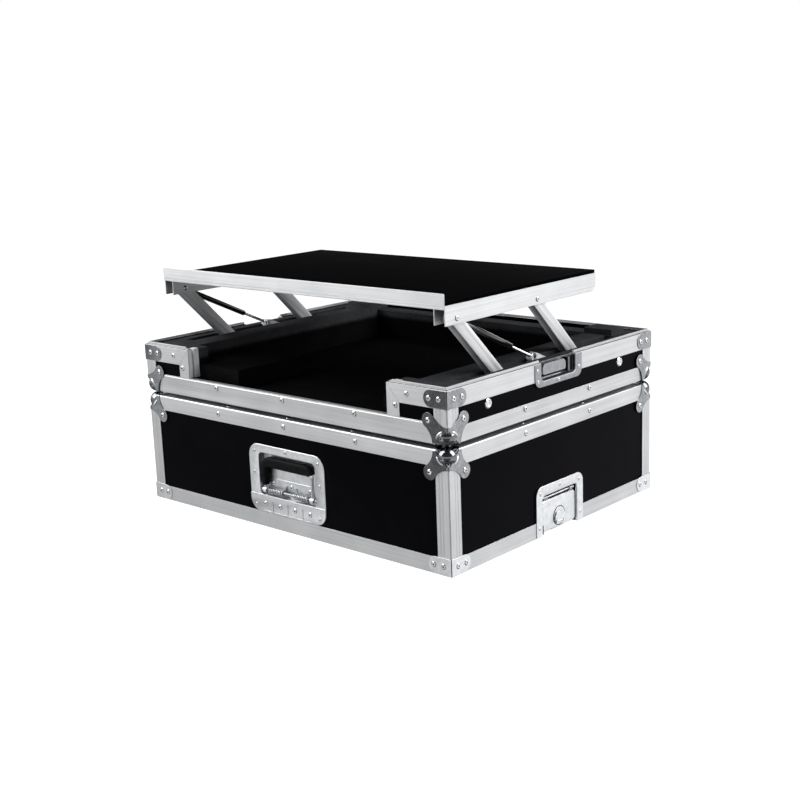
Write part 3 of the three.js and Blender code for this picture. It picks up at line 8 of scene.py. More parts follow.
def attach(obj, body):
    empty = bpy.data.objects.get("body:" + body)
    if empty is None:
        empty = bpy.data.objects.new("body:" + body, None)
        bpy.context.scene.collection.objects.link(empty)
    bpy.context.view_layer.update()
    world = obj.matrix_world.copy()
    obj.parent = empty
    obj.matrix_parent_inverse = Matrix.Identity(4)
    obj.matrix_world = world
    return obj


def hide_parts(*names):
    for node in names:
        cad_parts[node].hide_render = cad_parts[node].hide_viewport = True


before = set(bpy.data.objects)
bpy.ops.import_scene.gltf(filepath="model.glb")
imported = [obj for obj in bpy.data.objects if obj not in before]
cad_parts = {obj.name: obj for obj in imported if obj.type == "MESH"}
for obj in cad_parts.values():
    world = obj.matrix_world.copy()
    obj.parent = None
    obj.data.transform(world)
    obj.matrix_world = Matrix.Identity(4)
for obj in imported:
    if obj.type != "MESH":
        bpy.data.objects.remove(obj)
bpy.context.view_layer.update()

MM = 0.001
scene = bpy.context.scene


# Camera
# It stands off the case's front right corner and looks a little down on it, as in the picture.
# The place and the small roll come from lining up the case's edges with the picture's.
CAMERA_AZIMUTH = math.radians(42.303)
CAMERA_ELEVATION = math.radians(13.249)
CAMERA_ROLL = math.radians(-2.179)
CAMERA_OFFSET = Vector((-77.19, 264.61, 1963.24)) * MM
NEAR_CORNER = Vector((350, -277.5, 0)) * MM
SENSOR_WIDTH, LENS, FAR_CLIP = 36, 59.44, 60

away = Vector((
    math.sin(CAMERA_AZIMUTH) * math.cos(CAMERA_ELEVATION),
    -math.cos(CAMERA_AZIMUTH) * math.cos(CAMERA_ELEVATION),
    math.sin(CAMERA_ELEVATION),
))
sideways = Vector((math.cos(CAMERA_AZIMUTH), math.sin(CAMERA_AZIMUTH), 0))
upright = away.cross(sideways)
right = math.cos(CAMERA_ROLL) * sideways + math.sin(CAMERA_ROLL) * upright
up = math.cos(CAMERA_ROLL) * upright - math.sin(CAMERA_ROLL) * sideways
stance = Matrix((right, up, away)).transposed()
camera = bpy.data.objects.new("camera", bpy.data.cameras.new("camera"))
camera.data.sensor_width = SENSOR_WIDTH
camera.data.lens = LENS
camera.data.clip_end = FAR_CLIP
camera.matrix_world = Matrix.Translation(NEAR_CORNER + stance @ CAMERA_OFFSET) @ stance.to_4x4()
scene.collection.objects.link(camera)
scene.camera = camera
scene.view_settings.view_transform = "Standard"


# Studio
# A white floor that runs out of sight, a pale room with a darker ceiling, and two soft boxes.
# The dark ceiling is what the bright metal shows between the lights.
def linear(code):
    """A colour written as sRGB hex, turned to linear light."""
    shares = [int(code[i:i + 2], 16) / 255 for i in (1, 3, 5)]
    return [s / 12.92 if s <= 0.04045 else ((s + 0.055) / 1.055) ** 2.4 for s in shares] + [1]


def wire(tree, kind, output, feeds=None, **settings):
    """Adds one node with its settings, feeds its sockets other nodes' outputs or plain values, and
    gives back the output that is named, or the node where none is."""
    added = tree.nodes.new(kind)
    for setting, value in settings.items():
        setattr(added, setting, value)
    for socket, source in (feeds or {}).items():
        if isinstance(source, bpy.types.NodeSocket):
            tree.links.new(source, added.inputs[socket])
        else:
            added.inputs[socket].default_value = source
    return added.outputs[output] if output else added


def mapped(tree, source, low, high, first=0.0, last=1.0, smooth=False):
    """Turns the span from low to high into the one from first to last, and holds at its ends."""
    return wire(tree, "ShaderNodeMapRange", "Result",
                {"Value": source, "From Min": low, "From Max": high, "To Min": first, "To Max": last},
                interpolation_type="SMOOTHSTEP" if smooth else "LINEAR")


def worked(tree, operation, one, two, output="Value", vector=False):
    """One step of arithmetic on two numbers or vectors."""
    kind = "ShaderNodeVectorMath" if vector else "ShaderNodeMath"
    return wire(tree, kind, output, {0: one, 1: two}, operation=operation)


def graded(tree, source, *stops):
    """The colour of a ramp between the given places."""
    ramp = wire(tree, "ShaderNodeValToRGB", "Color", {"Fac": source})
    elements = ramp.node.color_ramp.elements
    while len(elements) < len(stops):
        elements.new(0.5)
    for element, (place, code) in zip(elements, stops):
        element.position = place
        element.color = linear(code)
    return ramp


def new_finish(name, **plain):
    """A material with its main shader's plain values set on the shader itself."""
    made = bpy.data.materials.new(name)
    made.use_nodes = True
    for socket, value in plain.items():
        made.node_tree.nodes["Principled BSDF"].inputs[socket.replace("_", " ")].default_value = value
    return made


CAMERA_SIDE = (0.55, -0.83, 0.0)
DOORWAY = (-0.55, -0.79, -0.26)
world = bpy.data.worlds.new("studio_room")
scene.world = world
world.use_nodes = True
air = world.node_tree
air.nodes.clear()
look = wire(air, "ShaderNodeTexCoord", "Generated")
look_x, look_z = (wire(air, "ShaderNodeSeparateXYZ", axis, {0: look}) for axis in "XZ")
shade = graded(air, mapped(air, look_z, -1.0, 1.0), (0.0, "#6a6a6a"), (0.20, "#848484"), (0.26, "#ffffff"),
               (0.575, "#ffffff"), (0.62, "#6a6b6e"), (1.0, "#48494c"))
# Below the horizon the room fades towards the far left and eases off towards the right.
far_left = mapped(air, look_x, -0.86, -0.60, 0.30, 1.95)
to_the_right = mapped(air, look_x, -0.45, 0.30, 1.0, 0.66)
# It is dark behind the camera, as the balls show.
toward = worked(air, "DOT_PRODUCT", look, CAMERA_SIDE, vector=True)
behind_camera = mapped(air, toward, 0.62, 0.80, 1.0, 0.16, smooth=True)
# A dark doorway to the front left shows only in the smoother plated steel.
toward = worked(air, "DOT_PRODUCT", look, DOORWAY, vector=True)
doorway = mapped(air, toward, 0.968, 0.985, 1.0, 0.12, smooth=True)
low = far_left
for part in (to_the_right, behind_camera, doorway):
    low = worked(air, "MULTIPLY", low, part)
under = mapped(air, look_z, -0.04, -0.10, smooth=True)
power = wire(air, "ShaderNodeMix", "Result", {"Factor": under, "A": 1.0, "B": low})
glow = wire(air, "ShaderNodeBackground", "Background", {"Color": shade, "Strength": power})
wire(air, "ShaderNodeOutputWorld", None, {"Surface": glow})

FLOOR_REACH = 25
floor_mesh = bpy.data.meshes.new("studio_floor")
floor_corners = [(x * FLOOR_REACH, y * FLOOR_REACH, 0) for x, y in ((-1, -1), (1, -1), (1, 1), (-1, 1))]
floor_mesh.from_pydata(floor_corners, [], [(0, 1, 2, 3)])
floor = bpy.data.objects.new("studio_floor", floor_mesh)
scene.collection.objects.link(floor)
# White floor paint, lit from itself so that it stays white far off.
floor_mesh.materials.append(new_finish(
    "white_floor_paint", Base_Color=linear("#8f8f8f"), Roughness=0.9, Specular_IOR_Level=0.0,
    Emission_Color=linear("#ffffff"), Emission_Strength=0.98))
# Bright metal mirrors the room below the horizon, not the lit floor.
floor.visible_glossy = False

LIT_POINT = Vector((0, 0, 0.2))
BOX_SIZE = 1.5


def soft_box(name, place, power):
    """A square light at a place in metres, turned to the case, with its power in watts."""
    lamp = bpy.data.lights.new(name, "AREA")
    lamp.shape = "SQUARE"
    lamp.size = BOX_SIZE
    lamp.energy = power
    box = bpy.data.objects.new(name, lamp)
    box.location = place
    box.rotation_euler = (LIT_POINT - Vector(place)).to_track_quat("-Z", "Y").to_euler()
    box.visible_camera = False
    scene.collection.objects.link(box)


soft_box("right_box", (1.4, 0.7, 1.25), 44)
soft_box("left_box", (-0.85, -0.85, 1.15), 38)


# Panels
# The walls, the lid's top and the tray's floor are plywood faced with black plastic laminate,
# cut square and slid into the aluminium edges. The laminate is smooth with a fine pebble.
def clouds(finish, size, detail, roughness=0.5):
    """Noise on the object whose clouds have a size in millimetres."""
    where = wire(finish.node_tree, "ShaderNodeTexCoord", "Object")
    return wire(finish.node_tree, "ShaderNodeTexNoise", "Fac",
                {"Vector": where, "Scale": 1 / (size * MM), "Detail": detail, "Roughness": roughness})


def cells(finish, size, feature="SMOOTH_F1"):
    """Round cells on the object with a size in millimetres."""
    where = wire(finish.node_tree, "ShaderNodeTexCoord", "Object")
    return wire(finish.node_tree, "ShaderNodeTexVoronoi", "Distance",
                {"Vector": where, "Scale": 1 / (size * MM)}, feature=feature)


def feed(finish, socket, source):
    """Links an output to one of the main shader's sockets."""
    finish.node_tree.links.new(source, finish.node_tree.nodes["Principled BSDF"].inputs[socket])


def emboss(finish, pattern, strength, depth):
    """Raises a pattern by a depth in millimetres."""
    feed(finish, "Normal", wire(finish.node_tree, "ShaderNodeBump", "Normal",
                                {"Height": pattern, "Strength": strength, "Distance": depth * MM}))


def dress(finish, pattern, tones, gloss, start=0.30):
    """Lets a pattern run between two tones and two roughnesses. The tones start at a place in it."""
    feed(finish, "Base Color", graded(finish.node_tree, pattern, (start, tones[0]), (0.70, tones[1])))
    feed(finish, "Roughness", mapped(finish.node_tree, pattern, 0.0, 1.0, *gloss))


def cloudy(name, cloud, tones, gloss, start=0.30, relief=None, **plain):
    """A finish under clouds of a size, a detail and maybe a roughness, with the same as relief."""
    made = new_finish(name, **plain)
    pattern = clouds(made, *cloud)
    dress(made, pattern, tones, gloss, start)
    if relief:
        emboss(made, pattern, *relief)
    return made


laminate = cloudy("black_laminate", (1000 / 9, 3.0, 0.6), ("#020204", "#050508"), (0.27, 0.36),
                  Specular_IOR_Level=0.015)
# The pebble is drawn 1.4 mm across, about twice its real size, so that it shows.
emboss(laminate, cells(laminate, 1.4), 0.10, 0.1)
for name in ("lid_front_panel", "lid_rear_panel", "lid_panel_right", "lid_panel_left", "lid_top_panel",
             "tray_floor", "tray_front_panel", "tray_rear_panel", "tray_panel_right", "tray_panel_left"):
    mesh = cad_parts[name].data
    mesh.materials.clear()
    mesh.materials.append(laminate)


# Edge extrusions
# Satin aluminium angles and double rims hold the panels' edges, cut to mitres at the corners.
# They are drawn from a die, which leaves fine lines along them, and their edges are barely eased.
CASE_X, CASE_Y = 350, 277.5
SPAN = (CASE_X, CASE_Y, CASE_X, CASE_Y)
CORNERS = [(x, y) for x in (-1, 1) for y in (-1, 1)]
SIDES = (("right", 1), ("left", -1))


def die_lines(finish, runs, gap, detail, roughness):
    """Lines along the map named run: so many lengths a metre, a gap in millimetres apart."""
    lay = wire(finish.node_tree, "ShaderNodeUVMap", "UV", uv_map="run")
    stretched = wire(finish.node_tree, "ShaderNodeMapping", "Vector",
                     {"Vector": lay, "Scale": (runs, 1 / (gap * MM), 1.0)})
    return wire(finish.node_tree, "ShaderNodeTexNoise", "Fac",
                {"Vector": stretched, "Scale": 1.0, "Detail": detail, "Roughness": roughness},
                noise_dimensions="2D")


def blended(finish, one, two, share):
    """Mixes two patterns, with a share of the second."""
    return wire(finish.node_tree, "ShaderNodeMix", "Result", {"A": one, "B": two, "Factor": share})


# The die lines are about 1.5 mm apart across the rail and a third of a metre long.
aluminium = new_finish("satin_aluminium_extrusion", Metallic=1.0)
lines = die_lines(aluminium, 3.0, 1.5, 4.0, 0.65)
dress(aluminium, blended(aluminium, lines, clouds(aluminium, 1000 / 14, 4.0), 0.35), ("#b4b5b7", "#d2d3d4"),
      (0.40, 0.54))
emboss(aluminium, lines, 0.25, 0.15)


def dull_aluminium(name, metallic, *tones):
    """Draw lines about 2 mm apart, broken up by a dull grain of 1 mm."""
    made = new_finish(name, Metallic=metallic)
    pattern = blended(made, die_lines(made, 14.0, 2, 5.0, 0.7), clouds(made, 1, 2.0), 0.4)
    dress(made, pattern, tones, (0.50, 0.66))
    emboss(made, pattern, 0.4, 0.2)
    return made


# The arms keep the mill's finish. The posts and the strut brackets are etched matt, so they stay
# light where they face the foam.
mill = dull_aluminium("mill_finish_aluminium", 0.7, "#a6a7a9", "#cdcecf")
matt = dull_aluminium("etched_matt_aluminium", 0.2, "#c4c5c7", "#dfe0e1")

# Painted shade: a dark steel finish for the brackets' folds, a dark line at each corner, and for the rivets'
# dimples, the ledge at the tongue's foot and the latches' and catches' gaps and slits.
painted_shade_steel = cloudy("painted_shade_dark_steel", (2, 3.0), ("#141415", "#2c2d2f"), (0.45, 0.65), start=0.35,
              Metallic=1.0)


def split(shape, place, facing, keep_all=True):
    """Cuts the faces along a plane; what lies outside it is kept or taken away."""
    everything = shape.verts[:] + shape.edges[:] + shape.faces[:]
    cut = bmesh.ops.bisect_plane(
        shape, geom=everything, plane_co=place, plane_no=facing, clear_outer=not keep_all)
    if not keep_all:
        edges = [e for e in cut["geom_cut"] if isinstance(e, bmesh.types.BMEdge) and e.is_boundary]
        bmesh.ops.holes_fill(shape, edges=edges)


def settle(name, mesh, body, replaced):
    """Stands a mesh in the scene as a piece on its body and in the place of its nodes."""
    piece = bpy.data.objects.new(name, mesh)
    scene.collection.objects.link(piece)
    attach(piece, body)
    if replaced:
        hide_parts(*replaced)
    for polygon in mesh.polygons:
        polygon.use_smooth = True
    return piece


def add_piece(shape, name, body, slot, finishes, *replaced, edge=0.3, angle=28, steps=2):
    """Makes a piece of a shape and rounds its sharp edges to a radius in millimetres."""
    mesh = bpy.data.meshes.new(name)
    bmesh.ops.recalc_face_normals(shape, faces=shape.faces)
    shape.to_mesh(mesh)
    shape.free()
    for finish in finishes:
        mesh.materials.append(finish)
    piece = settle(name, mesh, body, replaced)
    bevel = piece.modifiers.new("eased_edges", "BEVEL")
    bevel.width = edge * MM
    bevel.segments = steps
    bevel.limit_method = "ANGLE"
    bevel.angle_limit = math.radians(angle)
    bevel.use_clamp_overlap = False
    bevel.harden_normals = True
    return piece


EXTRUDED = "aluminium_extrusion"


def stand_in(shape, node, suffix, body, slot, finishes, **easing):
    """A piece that takes one node's place and its name."""
    return add_piece(shape, f"{node}_{suffix}", body, slot, finishes, node, **easing)


def loft(shape, rings, finish=0, mouth=False, whole=False):
    """Skins like rings of points in millimetres and caps both ends, or joins them in a whole ring.
    A mouth is the gap between a ring's last point and its first, closed by one flat face."""
    layers = [[shape.verts.new([value * MM for value in point]) for point in ring] for ring in rings]
    walls = []
    for one, two in zip(layers, layers[1:] + layers[:1] * whole):
        for i in range(len(one) - mouth):
            j = (i + 1) % len(one)
            walls.append(shape.faces.new((one[i], one[j], two[j], two[i])))
    ends = [] if whole else [shape.faces.new(layers[0]), shape.faces.new(layers[-1])]
    if mouth:
        ends.append(shape.faces.new([ring[0] for ring in layers] + [ring[-1] for ring in reversed(layers)]))
    for face in walls + ends:
        face.material_index = finish
    return walls, ends


def on_face(turn, along, inset, height):
    """A point seen from a face: 0 front, 1 right, 2 rear, 3 left; along runs to the viewer's right."""
    return (
        (along, inset - CASE_Y, height),
        (CASE_X - inset, along, height),
        (-along, CASE_Y - inset, height),
        (inset - CASE_X, -along, height),
    )[turn]


def run_map(shape):
    """The map that the die lines follow."""
    return shape.loops.layers.uv.get("run") or shape.loops.layers.uv.new("run")


def map_upright(shape, faces):
    """Lays the map on end faces and short blocks, with the die lines upright."""
    layer = run_map(shape)
    for face in faces:
        for loop in face.loops:
            loop[layer].uv = (loop.vert.co.z, loop.vert.co.x + loop.vert.co.y)


def lengths_round(points):
    """How far round a closed outline each of its points lies, and the whole way."""
    lengths = [0]
    for (x0, z0), (x1, z1) in zip(points, points[1:] + points[:1]):
        lengths.append(lengths[-1] + math.hypot(x1 - x0, z1 - z0))
    return lengths


def rail(shape, turn, section, start=None, end=None, finishes=None):
    """One length of extrusion on a face. It is mitred at an end, or stops square at a place or by a
    function of the section's point. finishes are for sides that don't take the first finish."""
    layer = run_map(shape)
    lengths = lengths_round(section)

    def stop(limit, way, inset, height):
        if limit is None:
            return way * (SPAN[turn] - inset - SEAM)
        return limit(inset, height) if callable(limit) else limit

    stops = [[stop(limit, way, *point) for point in section] for limit, way in ((start, -1), (end, 1))]
    walls, caps = loft(shape, [[on_face(turn, along, *point) for along, point in zip(places, section)]
                               for places in stops])
    for i, face in enumerate(walls):
        face.material_index = (finishes or {}).get(i, 0)
        j = (i + 1) % len(section)
        spots = ((stops[0][i], i), (stops[0][j], i + 1), (stops[1][j], i + 1), (stops[1][i], i))
        for loop, (along, side) in zip(face.loops, spots):
            # Each face of the case has its own stretch of the pattern.
            loop[layer].uv = (along * MM, lengths[side] * MM + turn * 0.37)
    map_upright(shape, caps)


def arc(x, z, radius, start, end, steps):
    """Points round a centre between two angles in degrees."""
    angles = [math.radians(start + (end - start) * i / steps) for i in range(steps + 1)]
    return [(x + radius * math.cos(a), z + radius * math.sin(a)) for a in angles]


SEAM = 0.12
BALL_CUT = 24


def ball_tips(shape, height, rise):
    """Takes off the tips that the ball corners stand in for."""
    for x, y in CORNERS:
        facing = Vector((x, y, rise)).normalized()
        place = Vector((x * CASE_X, y * CASE_Y, height)) * MM - facing * (BALL_CUT * MM / math.sqrt(3))
        split(shape, place, facing, keep_all=False)


FLANGE, SHEET, ROUND, RIB = 26, 1.5, 2.5, 0.35


def upright_angle(shape, side_x, side_y, low, high):
    """A corner angle with two shallow grooves on each leg, which leave three ribs."""
    layer = run_map(shape)
    leg = [(0, FLANGE), (0, 20.2), (RIB, 19.8), (RIB, 18.6), (0, 18.2), (0, 14.2), (RIB, 13.8), (RIB, 12.6),
           (0, 12.2), (0, ROUND)]
    points = leg + arc(ROUND, ROUND, ROUND, 202.5, 247.5, 2) + [(y, x) for x, y in reversed(leg)]
    points += [(FLANGE, SHEET), (SHEET, SHEET), (SHEET, FLANGE)]
    lengths = lengths_round(points)
    walls, caps = loft(shape, [[(side_x * (CASE_X - x), side_y * (CASE_Y - y), z) for x, y in points]
                               for z in (low, high)])
    for i, face in enumerate(walls):
        for loop, side in zip(face.loops, (i, i + 1, i + 1, i)):
            loop[layer].uv = (loop.vert.co.z + side_x, lengths[side] * MM + side_y)


# The lid's top frame: plain angle down every side.
ANGLE = [(0, 168), (1.5, 168), (1.5, 192.5), (26, 192.5), (26, 194)] + arc(2.5, 191.5, ROUND, 90, 180, 4)
shape = bmesh.new()
for turn in range(4):
    rail(shape, turn, ANGLE)
LID_TOP, TRAY_FOOT = 194, 201
ball_tips(shape, LID_TOP, 1)
add_piece(shape, "lid_top_angles", "lid", EXTRUDED, (aluminium,), "lid_top_frame")

# The lid's rim: a double rim over the panels' lower edge with the groove that takes the tongue.
LID_RIM = [(0, 0), (3, 0), (3, 4.5), (7, 4.5), (7, 0), (10.6, 0), (10.6, 16), (9.1, 16), (9.1, 6), (1.5, 6),
           (1.5, 26), (0, 26)]
LATCH_END = 49.3
for part, (middle, before, after) in (("front", (0, 3, 1)), ("rear", (2, 1, 3))):
    shape = bmesh.new()
    rail(shape, middle, LID_RIM)
    rail(shape, before, LID_RIM, start=LATCH_END)
    rail(shape, after, LID_RIM, end=-LATCH_END)
    for side_x in (-1, 1):
        upright_angle(shape, side_x, -1 if part == "front" else 1, 25.5, 167.7)
    stand_in(shape, f"lid_rim_{part}", "extrusions", "lid", EXTRUDED, (aluminium,))

# The tray's bottom frame: plain angle, deeper at the front, where a bead marks its upper edge.
FOLD_ARC = arc(2.5, 203.5, ROUND, 360, 270, 4)
LOW_ANGLE = [(0, 227), (1.5, 227), (1.5, 202.5), (26, 202.5), (26, 201)]
DEEP_ANGLE = [(0, 231.7), (0.5, 232.1), (0.5, 234), (1.5, 234), (1.5, 202.5), (26, 202.5), (26, 201)]
SILL = [(1.6, 232.4), (9.1, 232.4), (9.1, 222.5), (10.6, 222.5), (10.6, 233.9), (1.6, 233.9)]
SILL_END = 244
shape = bmesh.new()
for turn in range(4):
    rail(shape, turn, (LOW_ANGLE if turn else DEEP_ANGLE) + FOLD_ARC)
ball_tips(shape, TRAY_FOOT, -1)
rail(shape, 0, SILL, -SILL_END, SILL_END)
for side_x, side_y in CORNERS:
    upright_angle(shape, side_x, side_y, 225.5, 255.7)
add_piece(shape, "tray_bottom_angles", "tray", EXTRUDED, (aluminium,), "tray_bottom_frame")

# The tray's rim carries the tongue. At the front it stops at the two ears, whose ends are slotted
# posts with a face strip mitred into the rim.
RIM_FOOT, RIM_TOP = 256, 285
TRAY_RIM = [(0, RIM_FOOT), (1.5, RIM_FOOT), (1.5, 279), (9.1, 279), (9.1, 269), (10.6, 269), (10.6, RIM_TOP),
            (6.5, RIM_TOP), (6.5, 289), (3.5, 289), (3.5, RIM_TOP), (0, RIM_TOP)]
EAR_END, POST_WEB, STRIP_END = 232, 244.5, 257
POST_FOOT, POST_TOP, POST_DEPTH = 234.3, 284.9, 24
CATCH_END = 47.3
TONGUE_SETBACK = 9
# The rim's inner sides take the black laminate and the ledge at the foot of the tongue the dark steel:
# painted shade, where the rim faces into the tray and lies under the tongue.
SHADE_PAINTED_SIDES = {5: 2, 6: 2, 10: 3}
RIM_FINISHES = (aluminium, matt, laminate, painted_shade_steel)


def ear_cut(inset, height):
    """The slanting end of the rim over the face strip; the tongue starts a little further in."""
    if height > RIM_TOP + 0.5:
        return EAR_END + TONGUE_SETBACK
    return STRIP_END - (STRIP_END - EAR_END) * max(0, height - RIM_FOOT) / (RIM_TOP - RIM_FOOT) + SEAM


POST_PLAN = [(EAR_END, 1.6), (POST_WEB, 1.6), (POST_WEB, POST_DEPTH), (EAR_END, POST_DEPTH), (EAR_END, 13.5),
             (243, 13.5), (243, 9), (EAR_END, 9)]
STRIP = [(EAR_END, POST_FOOT), (STRIP_END, POST_FOOT), (STRIP_END, RIM_FOOT - SEAM),
         (EAR_END, RIM_TOP - SEAM)]
for name, side in SIDES:
    shape = bmesh.new()
    if side > 0:
        rail(shape, 0, TRAY_RIM, ear_cut, None, SHADE_PAINTED_SIDES)
        rail(shape, 1, TRAY_RIM, None, -CATCH_END, SHADE_PAINTED_SIDES)
    else:
        rail(shape, 0, TRAY_RIM, None, lambda inset, height: -ear_cut(inset, height), SHADE_PAINTED_SIDES)
        rail(shape, 3, TRAY_RIM, CATCH_END, None, SHADE_PAINTED_SIDES)
    post = loft(shape, [[(side * x, y - CASE_Y, z) for x, y in POST_PLAN] for z in (POST_FOOT, POST_TOP)],
                finish=1)
    strip = loft(shape, [[(side * x, y - CASE_Y, z) for x, z in STRIP] for y in (0, SHEET)])
    for walls, caps in (post, strip):
        map_upright(shape, walls + caps)
    stand_in(shape, f"tray_rim_front_{name}", "extrusions", "tray", EXTRUDED, RIM_FINISHES)
shape = bmesh.new()
rail(shape, 2, TRAY_RIM, None, None, SHADE_PAINTED_SIDES)
rail(shape, 1, TRAY_RIM, CATCH_END, None, SHADE_PAINTED_SIDES)
rail(shape, 3, TRAY_RIM, None, -CATCH_END, SHADE_PAINTED_SIDES)
stand_in(shape, "tray_rim_rear", "extrusions", "tray", EXTRUDED, RIM_FINISHES)


# Corner brackets
# A strip of plated steel with round ends is folded over each open corner of the rims and held by
# two rivets a side. The lid's stand at its lower corners, the tray's at its upper ones.
PLATED = "zinc_plated_steel"
BRACKET_REACH, BRACKET_HEIGHT, BRACKET_FOLD = 45, 27, 1.4
BRACKET_BACK, BRACKET_FACE = 0.05, 1.0

# The lid's brackets, the latches and the handle's dish are bright zinc on pressed steel, faintly
# cloudy. The tray's brackets and the corners' legs are nickel plated, painted darker than the
# metal: painted shade for the dark surroundings that they reflect.
zinc = cloudy("bright_zinc_plated_steel", (9, 5.0, 0.6), ("#c8cacd", "#e0e2e4"), (0.32, 0.42),
              relief=(0.05, 0.2), Metallic=1.0)
shade_darkened_nickel = cloudy("nickel_plated_steel_painted_shade", (6, 5.0, 0.62), ("#7c7e81", "#9fa1a4"), (0.12, 0.20),
                relief=(0.25, 0.25), Metallic=1.0)


def wrap(x, offset):
    """Where a place along the flat strip comes to lie off the corner, with an offset outwards."""
    quarter = BRACKET_FOLD * math.pi / 4
    centre = BRACKET_FACE - BRACKET_FOLD
    radius = BRACKET_FOLD + offset - BRACKET_FACE
    if x > quarter + 1e-6:
        return centre + radius, centre - (x - quarter)
    if x < -quarter - 1e-6:
        return centre + x + quarter, centre + radius
    angle = math.radians(45) - x / BRACKET_FOLD
    return centre + radius * math.cos(angle), centre + radius * math.sin(angle)


def folded_bracket(shape, side_x, side_y, low):
    """A round-ended strip drawn flat, wrapped round a corner and given its thickness."""
    half = BRACKET_HEIGHT / 2
    outline = arc(BRACKET_REACH - half, half, half, -90, 90, 12)
    outline += [(-x, BRACKET_HEIGHT - z) for x, z in outline]
    part = bmesh.new()
    part.faces.new([part.verts.new((x, 0, z)) for x, z in outline])
    quarter = BRACKET_FOLD * math.pi / 4
    for step in range(-3, 4):
        split(part, (quarter * step / 3, 0, 0), (1, 0, 0))
    wrapped = {}
    for offset in (BRACKET_BACK, BRACKET_FACE):
        for vert in part.verts:
            out_x, out_y = wrap(vert.co.x, offset)
            wrapped[vert, offset] = shape.verts.new((
                side_x * (CASE_X + out_x) * MM, side_y * (CASE_Y + out_y) * MM, (low + vert.co.z) * MM))
    for face in part.faces:
        for offset in (BRACKET_BACK, BRACKET_FACE):
            made = shape.faces.new([wrapped[v, offset] for v in face.verts])
            # The middle of the fold takes the second finish, a painted shade line along the corner.
            made.material_index = int(abs(face.calc_center_median().x) < quarter * 0.7)
    for edge in part.edges:
        if edge.is_boundary:
            a, b = edge.verts
            shape.faces.new((wrapped[a, BRACKET_BACK], wrapped[b, BRACKET_BACK],
                             wrapped[b, BRACKET_FACE], wrapped[a, BRACKET_FACE]))
    part.free()


for body, low, plating in (("lid", 1, zinc), ("tray", 257, shade_darkened_nickel)):
    shape = bmesh.new()
    for side_x, side_y in CORNERS:
        folded_bracket(shape, side_x, side_y, low)
    add_piece(shape, f"{body}_corner_brackets", body, PLATED, (plating, painted_shade_steel), angle=50)


# Ball corners
# A steel pressing wraps each corner with three riveted legs, draws in to a raised lip and holds a
# solid looking ball. The tray stands on the lid by these balls. The legs and the ball are plated
# steel painted dark, a painted shade for the dark room that they reflect.
BALL_RADIUS, BALL_INSET = 15 * MM, 11.65 * MM
LIP_RADIUS, LIP_THICKNESS, LIP_INSET = 14.5, 2.2, 10.8 * MM
LEG_AT, LOBE = 36 * MM, 12 * MM
LEG_SHOULDER, LEG_NECK = 29 * MM, 14 * MM
PLATE_TOP = 1.3 * MM
BEND = 3.0 * MM
BEND_RADIUS = BEND + PLATE_TOP
TIP_CUT = -8.0 * MM

# Polished nickel painted darker than the metal, a painted shade for the dark room that the balls reflect;
# the lamps still show in it as highlights.
shade_darkened_polish = cloudy("polished_nickel_painted_shade", (4, 4.0), ("#6c6d70", "#787a7d"), (0.05, 0.12), start=0.35,
                Metallic=1.0)
# Chromed steel: rivet heads, springs, the bail and the struts' rods.
chrome = cloudy("chromed_steel_wire", (3, 3.0), ("#c2c4c7", "#dfe0e2"), (0.06, 0.16), start=0.35,
                Metallic=1.0)


def curve_points(start, bend, end, steps):
    """Points of a quadratic curve, its start left out."""
    return [
        tuple((1 - t) ** 2 * a + 2 * t * (1 - t) * b + t * t * c for a, b, c in zip(start, bend, end))
        for t in (i / steps for i in range(1, steps + 1))
    ]


def add_part(shape, part, matrix=None, finish=0):
    """Adds a part's faces to a shape, moved by a matrix, and keeps them facing outwards."""
    matrix = matrix or Matrix()
    made = {v: shape.verts.new(matrix @ v.co) for v in part.verts}
    for face in part.faces:
        corners = [made[v] for v in face.verts]
        if matrix.determinant() < 0:
            corners.reverse()
        shape.faces.new(corners).material_index = finish + face.material_index


def leg_plate():
    """One leg, flat at first, then folded over the two edges that it shares with its neighbours."""
    fold = -BEND + BEND_RADIUS * math.pi / 4
    lobe = arc(-LEG_AT, -LEG_AT, LOBE, 110, 340, 24)
    outline = [(fold, fold), (-LEG_SHOULDER, fold)]
    outline += curve_points((-LEG_SHOULDER, fold), (-LEG_SHOULDER, -LEG_NECK), lobe[0], 8)
    outline += lobe[1:]
    outline += curve_points(lobe[-1], (-LEG_NECK, -LEG_SHOULDER), (fold, -LEG_SHOULDER), 8)
    part = bmesh.new()
    part.faces.new([part.verts.new((x, y, 0)) for x, y in outline])
    for step in range(4):
        edge = -BEND + (fold + BEND) * step / 4
        split(part, (edge, 0, 0), (1, 0, 0))
        split(part, (0, edge, 0), (0, 1, 0))
    for vert in part.verts:
        x, y, z = vert.co
        for axis, value in ((0, x), (1, y)):
            if value > -BEND:
                angle = (value + BEND) / BEND_RADIUS
                vert.co[axis] = -BEND + BEND_RADIUS * math.sin(angle)
                z -= BEND_RADIUS * (1 - math.cos(angle))
        vert.co.z = z
    skirt = bmesh.ops.extrude_face_region(part, geom=part.faces[:])
    for vert in (v for v in skirt["geom"] if isinstance(v, bmesh.types.BMVert)):
        vert.co.z += PLATE_TOP
    bmesh.ops.recalc_face_normals(part, faces=part.faces)
    return part


